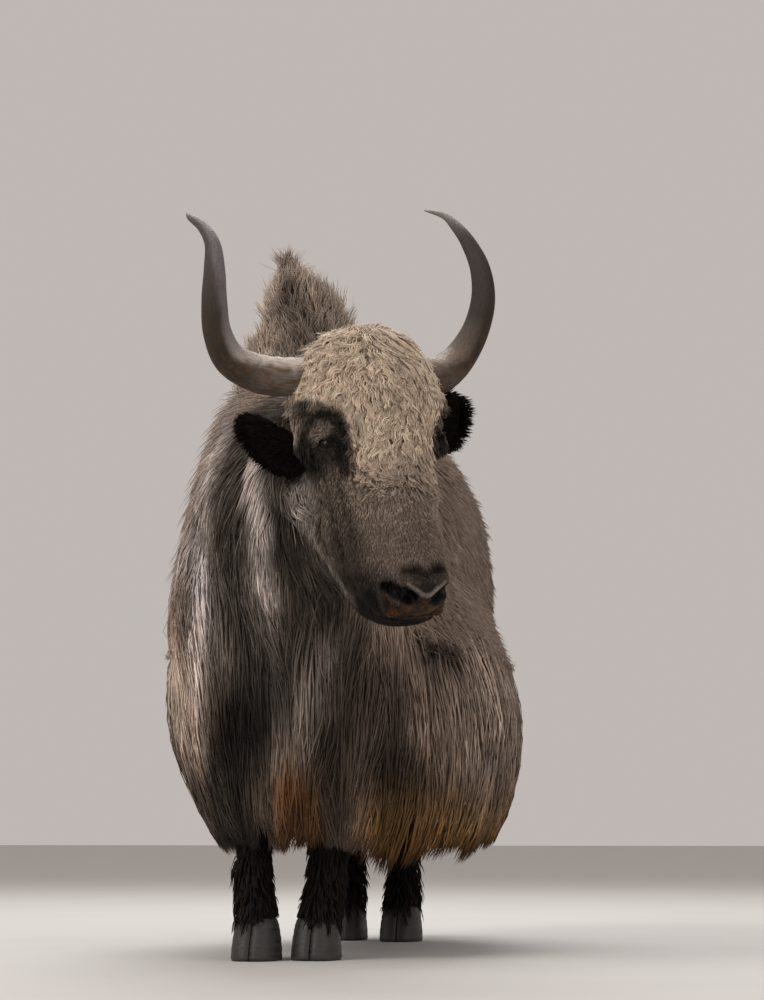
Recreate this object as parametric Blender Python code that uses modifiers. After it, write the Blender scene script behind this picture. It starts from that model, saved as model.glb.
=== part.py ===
"""A standing bull yak at life size, its head lowered and turned to its own left.

The animal faces -Y, its left is +X and up is +Z. Sizes are in metres and run out to the
tips of the coat. The body is modelled whole and then parted with thin cuts.
"""

import math

import bmesh
import bpy
import numpy as np
from mathutils import Matrix, Vector

# Driving sizes of the animal
HUMP_TOP = 1.385
TUFT_TOP = 1.428
BACK_TOP = 1.17
RUMP_TOP = 1.12
BARREL_HALF_WIDTH = 0.290
BELLY_BOTTOM = 0.47
HEAD_LENGTH = 0.54
CORONET = 0.072
SKIRT_TOP = 0.60

# The head's place: the poll, and how far the face turns left, drops and tilts
POLL = Vector((0.232, -0.790, 1.163))
HEAD_TURN = math.radians(38)
FACE_DROP = math.radians(68)
HEAD_TILT = math.radians(4.8)

EYE_RADIUS = 0.0195
EYE_PLACE = Vector((0.112, 0.198, -0.034))
HORN_BAR = Vector((0, 0.020, -0.060))
LEFT_HORN_SPREAD = 1.06
EAR_RISE = {1: 0.030, -1: -0.014}
MUZZLE_TURN = 0.010

# Where each foot stands: side and place along the body
FEET = {
    "fore_left": Vector((0.062, -0.455, 0)),
    "fore_right": Vector((-0.048, -0.500, 0)),
    "hind_left": Vector((0.058, 0.400, 0)),
    "hind_right": Vector((-0.082, 0.445, 0)),
}
CLAW_WIDTH = 0.047
CLAW_GAP = 0.0015

# How the solids are made
CUT = 0.0004
VOXEL = 0.0085
BODY_TRIANGLES = 1640
FACE_TRIANGLES = 800
RING_SIDES = 28
SHARP = math.radians(40)

COLOURS = {
    "coat": ((0.175, 0.140, 0.112), 0.85),
    "pale_coat": ((0.36, 0.29, 0.215), 0.85),
    "dark_coat": ((0.028, 0.022, 0.018), 0.85),
    "skirt_coat": ((0.110, 0.085, 0.066), 0.85),
    "nose": ((0.030, 0.025, 0.022), 0.45),
    "horn": ((0.120, 0.095, 0.075), 0.42),
    "hoof": ((0.045, 0.038, 0.033), 0.55),
    "eye": ((0.012, 0.009, 0.008), 0.08),
}


def clear_scene():
    for thing in list(bpy.data.objects):
        bpy.data.objects.remove(thing)


def new_collection(name):
    made = bpy.data.collections.new(name)
    bpy.context.scene.collection.children.link(made)
    return made


def material(name):
    """The coat, horn or other finish of that name."""
    found = bpy.data.materials.get(name)
    if found:
        return found
    colour, roughness = COLOURS[name]
    made = bpy.data.materials.new(name)
    made.use_nodes = True
    shader = made.node_tree.nodes["Principled BSDF"]
    shader.inputs["Base Color"].default_value = (*colour, 1)
    shader.inputs["Roughness"].default_value = roughness
    shader.inputs["Metallic"].default_value = 0
    return made


def smooth_rows(rows, count):
    """Rows of numbers made into count rows along a smooth curve through them."""
    rows = np.array(rows, float)
    ends = np.vstack([2 * rows[0] - rows[1], rows, 2 * rows[-1] - rows[-2]])
    places = np.linspace(0, len(rows) - 1, count)
    found = []
    for place in places:
        k = min(int(place), len(rows) - 2)
        t = place - k
        before, start, end, after = ends[k : k + 4]
        found.append(
            0.5
            * (
                2 * start
                + (end - before) * t
                + (2 * before - 5 * start + 4 * end - after) * t**2
                + (3 * start - before - 3 * end + after) * t**3
            )
        )
    return np.array(found)


def oval(half_width, up, down, power_up, power_down, sides=RING_SIDES):
    """A closed outline of (across, up) points, its upper and lower halves shaped apart."""
    points = []
    for k in range(sides):
        angle = 2 * math.pi * k / sides
        rising = math.sin(angle) >= 0
        power, height = (power_up, up) if rising else (power_down, down)
        across = math.copysign(abs(math.cos(angle)) ** (2 / power), math.cos(angle))
        along = math.copysign(abs(math.sin(angle)) ** (2 / power), math.sin(angle))
        points.append((half_width * across, height * along))
    return points


def add_rings(bm, rings):
    """A closed skin over rings of points, with a flat cap at each end."""
    made = [[bm.verts.new(p) for p in ring] for ring in rings]
    faces = [bm.faces.new(made[0][::-1]), bm.faces.new(made[-1])]
    for low, high in zip(made, made[1:]):
        for k in range(len(low)):
            n = (k + 1) % len(low)
            faces.append(bm.faces.new((low[k], low[n], high[n], high[k])))
    return faces


def mesh_object(name, bm, collection, finish=None):
    bmesh.ops.recalc_face_normals(bm, faces=bm.faces)
    bmesh.ops.triangulate(bm, faces=bm.faces, quad_method="FIXED")
    data = bpy.data.meshes.new(name)
    bm.to_mesh(data)
    bm.free()
    made = bpy.data.objects.new(name, data)
    collection.objects.link(made)
    if finish:
        data.materials.append(material(finish))
    return made


def section_rings(rows, count):
    """Upright sections along a level path.

    A row is x, y, z, heading in degrees, half width, up, down, and two powers.
    """
    rings = []
    for x, y, z, heading, half_width, up, down, power_up, power_down in smooth_rows(
        rows, count
    ):
        turn = math.radians(heading)
        across = Vector((math.cos(turn), math.sin(turn), 0))
        centre = Vector((x, y, z))
        ring = [
            centre + across * u + Vector((0, 0, v))
            for u, v in oval(
                max(half_width, 0.002), up, down, max(power_up, 1.1), max(power_down, 1.1)
            )
        ]
        rings.append(ring)
    return rings


def tube_rings(rows, count, sides=16):
    """Level sections down a limb. A row is x, y, z, half width and half depth."""
    rings = []
    for x, y, z, wide, deep in smooth_rows(rows, count):
        ring = []
        for k in range(sides):
            angle = 2 * math.pi * k / sides
            ring.append(Vector((x + wide * math.cos(angle), y + deep * math.sin(angle), z)))
        rings.append(ring)
    return rings


def trunk_rings():
    """Chest, barrel and rump, with the hump in their upper outline."""
    widest = 0.64
    wide = BARREL_HALF_WIDTH
    low = BELLY_BOTTOM
    rows = [
        # y, half width, top, height of the widest place, bottom, power above, power below
        (-0.665, 0.060, 0.86, 0.70, 0.56, 1.9, 2.0),
        (-0.620, 0.180, 1.02, 0.68, low + 0.03, 1.7, 2.0),
        (-0.520, 0.240, HUMP_TOP - 0.12, 0.64, low, 1.62, 2.2),
        (-0.400, 0.250, HUMP_TOP, 0.62, low - 0.01, 1.62, 2.2),
        (-0.300, 0.258, HUMP_TOP - 0.01, 0.62, low - 0.01, 1.62, 2.2),
        (-0.150, 0.272, HUMP_TOP - 0.12, 0.63, low, 2.1, 2.2),
        (0.000, wide - 0.004, BACK_TOP + 0.02, widest, low, 3.0, 2.2),
        (0.150, wide, BACK_TOP - 0.02, widest, low, 3.9, 2.2),
        (0.320, wide - 0.004, RUMP_TOP - 0.01, widest, low + 0.02, 4.0, 2.2),
        (0.480, 0.266, RUMP_TOP, 0.68, low + 0.07, 3.2, 2.2),
        (0.610, 0.210, RUMP_TOP - 0.07, 0.74, low + 0.13, 2.2, 2.0),
        (0.680, 0.060, 0.93, 0.80, low + 0.24, 2.0, 2.0),
    ]
    laid = [
        (0, y, mid, 0, half, top - mid, mid - bottom, above, below)
        for y, half, top, mid, bottom, above, below in rows
    ]
    return section_rings(laid, 44)


def tuft_rings():
    """The upright tuft on the crest of the hump."""
    rows = [
        # x, y, z, half width, half depth
        (0.008, -0.385, 1.240, 0.150, 0.130),
        (0.012, -0.390, 1.315, 0.104, 0.105),
        (0.008, -0.395, 1.358, 0.070, 0.072),
        (-0.012, -0.402, 1.396, 0.034, 0.042),
        (-0.022, -0.408, TUFT_TOP, 0.013, 0.020),
    ]
    return tube_rings(rows, 10)


def neck_rings():
    """From the shoulders to the back of the head, bending to the left."""
    rows = [
        # x, y, z, heading, half width, up, down, power above, power below
        (0.000, -0.300, 0.900, 0, 0.240, 0.36, 0.36, 1.6, 2.0),
        (0.015, -0.450, 0.885, 10, 0.226, 0.33, 0.36, 1.6, 2.0),
        (0.065, -0.590, 0.890, 25, 0.205, 0.25, 0.33, 1.8, 2.0),
        (0.135, -0.700, 0.915, 37, 0.175, 0.185, 0.27, 2.0, 2.0),
        (0.195, -0.775, 0.945, 41, 0.135, 0.120, 0.17, 2.0, 2.0),
    ]
    return section_rings(rows, 22)


def head_matrix():
    """From the head's own axes to the animal's: x left, y down the face, z out of the face."""
    left = Vector((math.cos(HEAD_TURN), math.sin(HEAD_TURN), 0))
    ahead = Vector((math.sin(HEAD_TURN), -math.cos(HEAD_TURN), 0))
    down = Vector((0, 0, -1))
    along = ahead * math.cos(FACE_DROP) + down * math.sin(FACE_DROP)
    out = along.cross(left)
    turned = Matrix((left, along, out)).transposed().to_4x4()
    tilt = Matrix.Rotation(HEAD_TILT, 4, ahead)
    return Matrix.Translation(POLL) @ tilt @ turned


def muzzle_turn(down):
    """How far the face bends to the animal's right, by the way down it."""
    share = np.clip((down - 0.28) / 0.24, 0, 1)
    return MUZZLE_TURN * share * share * (3 - 2 * share)


def head_rings():
    """Sections from the poll to the lips, in the head's own axes."""
    long = HEAD_LENGTH
    rows = [
        # share of the length, half width, front, back, power in front, power behind
        (-0.085, 0.055, 0.016, -0.090, 2.0, 2.0),
        (-0.035, 0.110, 0.046, -0.130, 2.1, 2.0),
        (0.060, 0.140, 0.061, -0.165, 2.2, 2.0),
        (0.180, 0.151, 0.065, -0.200, 2.2, 2.0),
        (0.280, 0.146, 0.057, -0.222, 2.2, 2.1),
        (0.360, 0.131, 0.048, -0.235, 2.1, 2.1),
        (0.500, 0.106, 0.039, -0.236, 1.9, 2.3),
        (0.620, 0.096, 0.032, -0.238, 1.9, 2.8),
        (0.740, 0.087, 0.026, -0.232, 2.1, 3.0),
        (0.850, 0.078, 0.022, -0.204, 2.3, 2.9),
        (0.930, 0.068, 0.010, -0.165, 2.4, 2.5),
        (0.980, 0.053, -0.012, -0.128, 2.4, 2.4),
        (1.000, 0.027, -0.036, -0.094, 2.2, 2.2),
    ]
    place = head_matrix()
    rings = []
    for share, half, front, back, before, behind in smooth_rows(rows, 40):
        middle = (front + back) / 2 - 0.01
        rings.append(
            [
                place @ Vector((u - muzzle_turn(share * long), share * long, middle + v))
                for u, v in oval(half, front - middle, middle - back, before, behind)
            ]
        )
    return rings


def leg_rings(name):
    """One leg from inside the trunk down to the coronet. Its outline has the leg's hair."""
    foot = FEET[name]
    side = math.copysign(1, foot.x)
    if name.startswith("fore"):
        rows = [
            # out from the foot, behind the foot, height, half width, half depth
            (0.085, 0.010, 0.680, 0.085, 0.120),
            (0.070, 0.020, 0.560, 0.080, 0.105),
            (0.038, 0.010, 0.450, 0.066, 0.084),
            (0.022, -0.006, 0.350, 0.052, 0.064),
            (0.017, 0.000, 0.240, 0.045, 0.053),
            (0.009, 0.004, 0.150, 0.045, 0.053),
            (0.003, -0.004, 0.100, 0.050, 0.060),
            (0.000, -0.014, 0.060, 0.053, 0.063),
        ]
    else:
        rows = [
            (0.090, -0.070, 0.700, 0.100, 0.160),
            (0.080, -0.050, 0.580, 0.085, 0.135),
            (0.050, 0.020, 0.460, 0.058, 0.085),
            (0.022, 0.062, 0.370, 0.045, 0.060),
            (0.008, 0.058, 0.300, 0.040, 0.050),
            (0.000, 0.030, 0.210, 0.039, 0.043),
            (0.000, 0.012, 0.140, 0.043, 0.049),
            (0.000, -0.004, 0.100, 0.048, 0.057),
            (0.000, -0.014, 0.060, 0.051, 0.061),
        ]
    placed = [
        (foot.x + side * out, foot.y + behind, z, wide, deep)
        for out, behind, z, wide, deep in rows
    ]
    return tube_rings(placed, 30)


def tail_rings():
    """The tail hangs close behind the rump, thick with long hair."""
    rows = [
        # x, y, z, half width, half depth
        (0.000, 0.560, 1.030, 0.048, 0.050),
        (0.000, 0.660, 0.975, 0.058, 0.050),
        (0.004, 0.735, 0.850, 0.076, 0.054),
        (0.006, 0.764, 0.690, 0.104, 0.068),
        (0.004, 0.770, 0.530, 0.116, 0.076),
        (0.000, 0.770, 0.380, 0.094, 0.066),
        (0.000, 0.768, 0.280, 0.046, 0.036),
    ]
    return tube_rings(rows, 26)


def skirt_outline(height):
    """Left width, right width, front length and rear length of the hanging coat at a height."""
    heights = [0.16, 0.22, 0.30, 0.40, 0.50, 0.60, 0.70, 0.80]
    lefts = [0.272, 0.314, 0.352, 0.380, 0.384, 0.366, 0.330, 0.270]
    rights = [0.180, 0.220, 0.276, 0.332, 0.358, 0.352, 0.316, 0.262]
    fronts = [0.610, 0.632, 0.655, 0.675, 0.685, 0.690, 0.690, 0.680]
    rears = [0.545, 0.570, 0.595, 0.615, 0.622, 0.620, 0.600, 0.570]
    return [float(np.interp(height, heights, row)) for row in (lefts, rights, fronts, rears)]


def skirt_thickness(height):
    return float(np.interp(height, [0.20, 0.30, 0.45, 0.65], [0.016, 0.040, 0.058, 0.062]))


def skirt_bottom(angle):
    """How low the coat hangs, by the way round: 0 is the animal's left, 90 its rear."""
    ahead = max(0.0, -math.sin(angle))
    behind = max(0.0, math.sin(angle))
    ripple = 0.010 * math.sin(11 * angle) + 0.007 * math.sin(19 * angle + 1)
    elbow = 0.048 * math.exp(-(((angle + 0.75) / 0.35) ** 2))
    brisket = 0.035 * math.exp(-(((angle + 1.555) / 0.085) ** 2))
    return 0.212 + 0.030 * ahead**4 + 0.095 * behind**3 + ripple - elbow - brisket


def skirt_point(angle, height, inset):
    left, right, front, rear = skirt_outline(height)
    squareness = 2 / 2.30 if math.sin(angle) > 0 else 2 / 1.95
    across = math.copysign(abs(math.cos(angle)) ** squareness, math.cos(angle))
    along = math.copysign(abs(math.sin(angle)) ** squareness, math.sin(angle))
    side = left if across > 0 else right
    reach = rear if along > 0 else front
    return Vector(((side - inset) * across, 0.03 + (reach - inset) * along, height))


def add_skirt(bm):
    """The hanging coat as a closed ring: each slice goes down its outside and up its inside."""
    slices = []
    steps = 7
    for k in range(72):
        angle = 2 * math.pi * k / 72
        low = skirt_bottom(angle)
        heights = [low + (0.80 - low) * j / steps for j in range(steps + 1)]
        outside = [skirt_point(angle, z, 0) for z in reversed(heights)]
        inside = [skirt_point(angle, z, skirt_thickness(z)) for z in heights]
        slices.append([bm.verts.new(p) for p in outside + inside])
    for k, here in enumerate(slices):
        after = slices[(k + 1) % len(slices)]
        for j in range(len(here)):
            n = (j + 1) % len(here)
            bm.faces.new((here[j], here[n], after[n], after[j]))


def skirt_hollow(margin, collection):
    """What lies inside the hanging coat, grown by a margin."""
    bm = bmesh.new()
    rings = []
    clear_of_legs = 0.190
    for height in (0.05, clear_of_legs, *np.linspace(0.196, SKIRT_TOP + 0.05, 6)):
        inset = skirt_thickness(height) + 0.004 - margin
        if height <= clear_of_legs:
            inset = -0.08 - margin
        rings.append(
            [skirt_point(2 * math.pi * k / 30, height, inset) for k in range(30)]
        )
    add_rings(bm, rings)
    hollow = mesh_object("hollow_cutter", bm, collection)
    hide(hollow)
    return hollow


def skirt_block(margin, collection):
    """All the room below the skirt's top and outside its hollow, shrunk by a margin."""
    hollow = skirt_hollow(margin, collection)
    low, high = 0.1, SKIRT_TOP - margin
    bm = bmesh.new()
    bmesh.ops.create_cube(bm, size=1)
    bmesh.ops.scale(bm, vec=(3, 4, high - low), verts=bm.verts)
    bmesh.ops.translate(bm, vec=(0, 0, (low + high) / 2), verts=bm.verts)
    block = cut(mesh_object("skirt_block", bm, collection), hollow, "DIFFERENCE")
    hide(block)
    return block


def hide(thing):
    thing.hide_render = True
    thing.display_type = "WIRE"


def evaluated_copy(thing, name, collection):
    """The object's mesh with its modifiers applied, as a new object."""
    graph = bpy.context.evaluated_depsgraph_get()
    data = bpy.data.meshes.new_from_object(thing.evaluated_get(graph))
    made = bpy.data.objects.new(name, data)
    made.matrix_world = thing.matrix_world
    collection.objects.link(made)
    return made


def whole_body(collection):
    """Every fleshy and hanging part in one closed skin, from overlapping lofts."""
    bm = bmesh.new()
    for rings in (trunk_rings(), tuft_rings(), neck_rings(), head_rings(), tail_rings()):
        add_rings(bm, rings)
    for name in FEET:
        add_rings(bm, leg_rings(name))
    add_skirt(bm)
    joined = mesh_object("joined_lofts", bm, collection)
    remesh = joined.modifiers.new("union", "REMESH")
    remesh.mode = "VOXEL"
    remesh.voxel_size = VOXEL
    blend = joined.modifiers.new("blend", "SMOOTH")
    blend.factor = 0.5
    blend.iterations = 7
    whole = evaluated_copy(joined, "whole", collection)
    bpy.data.objects.remove(joined)
    return whole


def swell(points, centre, reach, push):
    """Moves the points near a centre by push, fading to nothing at its reach."""
    distance = np.linalg.norm(points - np.array(centre), axis=1) / reach
    share = np.clip(1 - distance**2, 0, 1) ** 2
    points += share[:, None] * np.array(push)


def shape_face(whole):
    """Brows, sockets, cheeks, nostrils and lips, in the head's own axes."""
    place = head_matrix()
    back = np.array(place.inverted())
    forth = np.array(place)
    points = np.empty(len(whole.data.vertices) * 3, np.float32)
    whole.data.vertices.foreach_get("co", points)
    points = points.reshape(-1, 3).astype(float)
    local = points @ back[:3, :3].T + back[:3, 3]
    near = (local[:, 1] > -0.10) & (local[:, 1] < 0.62) & (np.abs(local[:, 0]) < 0.20)
    near &= (local[:, 2] > -0.27) & (local[:, 2] < 0.12)
    face = local[near]
    face[:, 0] += muzzle_turn(face[:, 1])
    for side in (1, -1):
        swell(face, (side * 0.105, 0.160, 0.024), 0.060, (side * 0.010, -0.002, 0.008))
        swell(face, (side * 0.122, 0.207, -0.032), 0.040, (-side * 0.014, 0, -0.005))
        swell(face, (side * 0.112, 0.264, -0.032), 0.050, (-side * 0.006, 0, -0.002))
        swell(face, (side * 0.085, 0.320, -0.130), 0.090, (side * 0.014, 0, 0))
        swell(face, (side * 0.052, 0.500, 0.012), 0.034, (side * 0.010, 0.002, 0.008))
        swell(face, (side * 0.048, 0.530, 0.004), 0.019, (-side * 0.010, -0.016, -0.012))
        swell(face, (side * 0.066, 0.505, -0.058), 0.040, (-side * 0.007, 0, 0))
    swell(face, (0, 0.572, -0.052), 0.030, (0, -0.008, 0))
    swell(face, (0, 0.545, -0.098), 0.045, (0, 0.006, -0.010))
    swell(face, (0, 0.110, 0.060), 0.110, (0, 0, 0.010))
    face[:, 0] -= muzzle_turn(face[:, 1])
    local[near] = face
    points = local @ forth[:3, :3].T + forth[:3, 3]
    whole.data.vertices.foreach_set("co", points.astype(np.float32).ravel())
    whole.data.update()


def thin_out(whole, collection):
    """Fewer triangles: first over the body, and then more gently over the face."""
    back = head_matrix().inverted()
    group = whole.vertex_groups.new(name="body")
    on_face = set()
    for vertex in whole.data.vertices:
        spot = back @ vertex.co
        if abs(spot.x) < 0.17 and -0.08 < spot.y < 0.62 and -0.26 < spot.z < 0.12:
            on_face.add(vertex.index)
    group.add([v.index for v in whole.data.vertices if v.index not in on_face], 1.0, "REPLACE")
    total = sum(len(face.vertices) - 2 for face in whole.data.polygons)
    facial = sum(
        len(face.vertices) - 2 for face in whole.data.polygons if face.vertices[0] in on_face
    )
    steps = (
        ("body", total, facial + BODY_TRIANGLES, False),
        ("face", facial + BODY_TRIANGLES, FACE_TRIANGLES + BODY_TRIANGLES, True),
    )
    for label, before, after, inverted in steps:
        fewer = whole.modifiers.new(label, "DECIMATE")
        fewer.ratio = after / before
        fewer.vertex_group = group.name
        fewer.invert_vertex_group = inverted
        fewer.vertex_group_factor = 1000.0
        fewer.use_collapse_triangulate = True
    thinned = evaluated_copy(whole, "thinned", collection)
    bpy.data.objects.remove(whole)
    return thinned


def cut(thing, cutter, operation):
    """Applies a Boolean and returns its result in place of the object."""
    step = thing.modifiers.new("cut", "BOOLEAN")
    step.operation = operation
    step.object = cutter
    step.solver = "EXACT"
    step.use_self = True
    bpy.context.view_layer.update()
    made = evaluated_copy(thing, thing.name + "_cut", thing.users_collection[0])
    name = thing.name
    bpy.data.objects.remove(thing)
    made.name = name
    return made


def copy_of(thing, name):
    made = bpy.data.objects.new(name, thing.data.copy())
    thing.users_collection[0].objects.link(made)
    return made


def drop_crumbs(bm):
    """Takes away closed pieces of only a few faces, left where two cuts cross a surface."""
    unseen = set(bm.faces)
    crumbs = []
    while unseen:
        piece = {unseen.pop()}
        growing = list(piece)
        while growing:
            face = growing.pop()
            touching = {other for edge in face.edges for other in edge.link_faces} & unseen
            unseen -= touching
            piece |= touching
            growing += touching
        if len(piece) < 30:
            crumbs += piece
    bmesh.ops.delete(bm, geom=crumbs, context="FACES")


def keep_side(thing, point, normal):
    """Cuts the object at a plane, closes it, and keeps the side that the normal points to."""
    bm = bmesh.new()
    bm.from_mesh(thing.data)
    geometry = bm.verts[:] + bm.edges[:] + bm.faces[:]
    cut_made = bmesh.ops.bisect_plane(
        bm, geom=geometry, dist=1e-6, plane_co=point, plane_no=normal, clear_inner=True
    )
    rim = [e for e in cut_made["geom_cut"] if isinstance(e, bmesh.types.BMEdge) and e.is_valid]
    rim = [e for e in rim if e.is_boundary]
    bmesh.ops.holes_fill(bm, edges=rim, sides=0)
    bmesh.ops.triangulate(bm, faces=[f for f in bm.faces if len(f.verts) > 3])
    drop_crumbs(bm)
    bm.to_mesh(thing.data)
    bm.free()


def part_at(thing, point, normal, name):
    """Cuts off what lies beyond a plane as a new object, with the cut's gap between the two."""
    normal = Vector(normal).normalized()
    point = Vector(point)
    beyond = copy_of(thing, name)
    keep_side(beyond, point + normal * CUT / 2, normal)
    keep_side(thing, point - normal * CUT / 2, -normal)
    return beyond


def part_flesh(flesh):
    """Head, muzzle, neck, hump, chest, barrel, rump and legs, by plane cuts."""
    place = head_matrix()
    turned = place.to_3x3()
    legs = part_at(flesh, (0, 0, BELLY_BOTTOM - 0.035), (0, 0, -1), "legs")
    keep_side(legs, Vector((0, 0, CORONET)), Vector((0, 0, 1)))
    hind = part_at(legs, (0, 0, 0.3), (0, 1, 0), "hind")
    for pair, kind, joint_height in ((legs, "fore", 0.335), (hind, "hind", 0.360)):
        middle = (FEET[kind + "_left"].x + FEET[kind + "_right"].x) / 2
        left = part_at(pair, (middle, 0, 0.3), (1, 0, 0), kind + "leg_upper_left")
        pair.name = kind + "leg_upper_right"
        for upper, side in ((left, "left"), (pair, "right")):
            part_at(upper, (0, 0, joint_height), (0, 0, -1), f"{kind}leg_lower_{side}")
    head = part_at(flesh, place @ Vector((0, 0.10, -0.232)), turned @ Vector((0, 0.1, 1)), "head")
    part_at(head, place @ Vector((0, 0.415, 0)), turned @ Vector((0, 1, 0.12)), "muzzle")
    chest = part_at(flesh, (0, -0.20, 0.8), (0, -1, 0), "chest")
    part_at(chest, (0, -0.38, 1.12), (0, 0.25, 1), "hump")
    part_at(chest, (0.02, -0.45, 0.95), (0.25, -1, 0.18), "neck")
    part_at(flesh, (0, 0.30, 0.8), (0, 1, 0), "rump")
    flesh.name = "barrel"
    return head


def part_skirt(skirt):
    """The hanging coat in six lengths, three on each side."""
    left = part_at(skirt, (0, 0, 0.4), (1, 0, 0), "skirt_flank_left")
    skirt.name = "skirt_flank_right"
    for flank, side in ((left, "left"), (skirt, "right")):
        part_at(flank, (0, -0.34, 0.4), (0, -1, 0), f"skirt_fore_{side}")
        part_at(flank, (0, 0.36, 0.4), (0, 1, 0), f"skirt_hind_{side}")


def horn_line(side):
    """Centres and radii of a horn, left, ahead and up from the middle between the two."""
    rows = [
        # left, ahead, up, radius
        (0.095, 0.020, -0.010, 0.0365),
        (0.151, 0.000, -0.009, 0.0375),
        (0.192, -0.034, 0.004, 0.0370),
        (0.238, -0.052, 0.034, 0.0325),
        (0.268, -0.036, 0.082, 0.0275),
        (0.279, -0.014, 0.138, 0.0245),
        (0.276, -0.010, 0.196, 0.0205),
        (0.267, -0.032, 0.250, 0.0155),
        (0.265, -0.076, 0.292, 0.0112),
        (0.268, -0.128, 0.323, 0.0068),
        (0.254, -0.180, 0.344, 0.0016),
    ]
    spread = LEFT_HORN_SPREAD if side > 0 else 1
    return [
        (side * left * spread, ahead, up * spread, radius)
        for left, ahead, up, radius in smooth_rows(rows, 15)
    ]


def level_head_axes():
    """Left, ahead and up at the head, with its tilt but not the drop of its face."""
    ahead = Vector((math.sin(HEAD_TURN), -math.cos(HEAD_TURN), 0))
    tilt = Matrix.Rotation(HEAD_TILT, 3, ahead)
    left = tilt @ Vector((math.cos(HEAD_TURN), math.sin(HEAD_TURN), 0))
    return left, ahead, tilt @ Vector((0, 0, 1))


def horn(name, side, grow, collection):
    """A curved horn, or with grow above nothing, the cutter for its socket."""
    left, ahead, up = level_head_axes()
    root = head_matrix() @ HORN_BAR
    centres = []
    radii = []
    for a, b, c, radius in horn_line(side):
        centres.append(root + left * a + ahead * b + up * c)
        radii.append(radius)
    centres[0] -= (centres[1] - centres[0]).normalized() * grow
    rings = []
    sides = 9
    for k, centre in enumerate(centres):
        along = centres[min(k + 1, len(centres) - 1)] - centres[max(k - 1, 0)]
        along.normalize()
        across = along.cross(ahead).normalized()
        third = along.cross(across)
        radius = radii[k] + grow
        rings.append(
            [
                centre
                + across * radius * math.cos(2 * math.pi * j / sides)
                + third * radius * 0.92 * math.sin(2 * math.pi * j / sides)
                for j in range(sides)
            ]
        )
    bm = bmesh.new()
    add_rings(bm, rings)
    return mesh_object(name, bm, collection, "horn")


def ear_rings(side, grow):
    """A broad hairy leaf, from behind the eye out to the side, in the head's own axes."""
    rows = [
        # out, down the face, off the face, half width, half thickness
        (0.110, 0.158, -0.102, 0.020, 0.020),
        (0.140, 0.152, -0.108, 0.048, 0.025),
        (0.170, 0.141, -0.114, 0.066, 0.024),
        (0.205, 0.122, -0.118, 0.067, 0.020),
        (0.236, 0.102, -0.120, 0.048, 0.014),
        (0.258, 0.088, -0.121, 0.018, 0.007),
    ]
    place = head_matrix()
    rings = []
    spread = Vector((-0.12, 0.99, 0)).normalized()
    for out, down, off, wide, thick in smooth_rows(rows, 9):
        out -= 0 if rings else grow
        ring = []
        for k in range(10):
            angle = 2 * math.pi * k / 10
            across = (wide + grow) * math.cos(angle)
            through = (thick + grow) * math.sin(angle)
            spot = Vector((out, down - EAR_RISE[side], off)) + spread * across + Vector((0, 0, through))
            ring.append(place @ Vector((side * spot.x, spot.y, spot.z)))
        rings.append(ring)
    return rings


def ear(name, side, grow, collection):
    bm = bmesh.new()
    add_rings(bm, ear_rings(side, grow))
    return mesh_object(name, bm, collection, "dark_coat")


def eye(name, side, grow, collection):
    bm = bmesh.new()
    centre = head_matrix() @ Vector((side * EYE_PLACE.x, EYE_PLACE.y, EYE_PLACE.z))
    bmesh.ops.create_uvsphere(
        bm,
        u_segments=12,
        v_segments=8,
        radius=EYE_RADIUS + grow,
        matrix=Matrix.Translation(centre),
    )
    return mesh_object(name, bm, collection, "eye")


def fit_into(host, kinds, collection, cutters):
    """Makes each pair of horns, ears or eyes, and sinks a socket for it in its host."""
    for make, kind in kinds:
        for label, side in (("left", 1), ("right", -1)):
            make(f"{kind}_{label}", side, 0, collection)
            socket = make(f"{kind}_{label}_socket", side, 1.5 * CUT, cutters)
            hide(socket)
            host = cut(host, socket, "DIFFERENCE")
            bpy.data.objects.remove(socket)
    return host


def claw(name, foot, side, collection):
    """One of a foot's two claws: flat below, rounded in front, flat against its twin."""
    rows = [
        # height, reach ahead, reach behind, width
        (0.000, 0.066, 0.046, CLAW_WIDTH),
        (0.010, 0.067, 0.047, CLAW_WIDTH + 0.001),
        (0.035, 0.058, 0.045, CLAW_WIDTH - 0.001),
        (0.058, 0.048, 0.042, CLAW_WIDTH - 0.004),
        (CORONET - CUT, 0.042, 0.040, CLAW_WIDTH - 0.006),
    ]
    bm = bmesh.new()
    rings = []
    for height, ahead, behind, width in rows:
        ring = []
        for k in range(9):
            angle = math.pi * k / 8
            reach = ahead if angle < math.pi / 2 else behind
            out = width * math.sin(angle) ** 0.7
            ring.append(
                Vector(
                    (
                        foot.x + side * (CLAW_GAP + out),
                        foot.y - 0.012 - reach * math.cos(angle),
                        height,
                    )
                )
            )
        rings.append(ring)
    add_rings(bm, rings)
    return mesh_object(name, bm, collection, "hoof")


def finish_of(name):
    if name.startswith(("foreleg", "hindleg")):
        return "dark_coat"
    if name.startswith(("skirt", "tail")):
        return "skirt_coat"
    return {"head": "pale_coat", "muzzle": "nose"}.get(name, "coat")


def settle(collection):
    """Moves everything so that the middle of the box's base is the origin, and adds finishes."""
    bpy.context.view_layer.update()
    corners = np.array(
        [thing.matrix_world @ v.co for thing in collection.objects for v in thing.data.vertices]
    )
    low, high = corners.min(0), corners.max(0)
    shift = Vector((-(low[0] + high[0]) / 2, -(low[1] + high[1]) / 2, -low[2]))
    for thing in collection.objects:
        thing.data.transform(Matrix.Translation(shift))
        if not thing.data.materials or thing.data.materials[0] is None:
            thing.data.materials.clear()
            thing.data.materials.append(material(finish_of(thing.name)))
        thing.data.shade_smooth()
        thing.data.set_sharp_from_angle(angle=SHARP)


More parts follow.
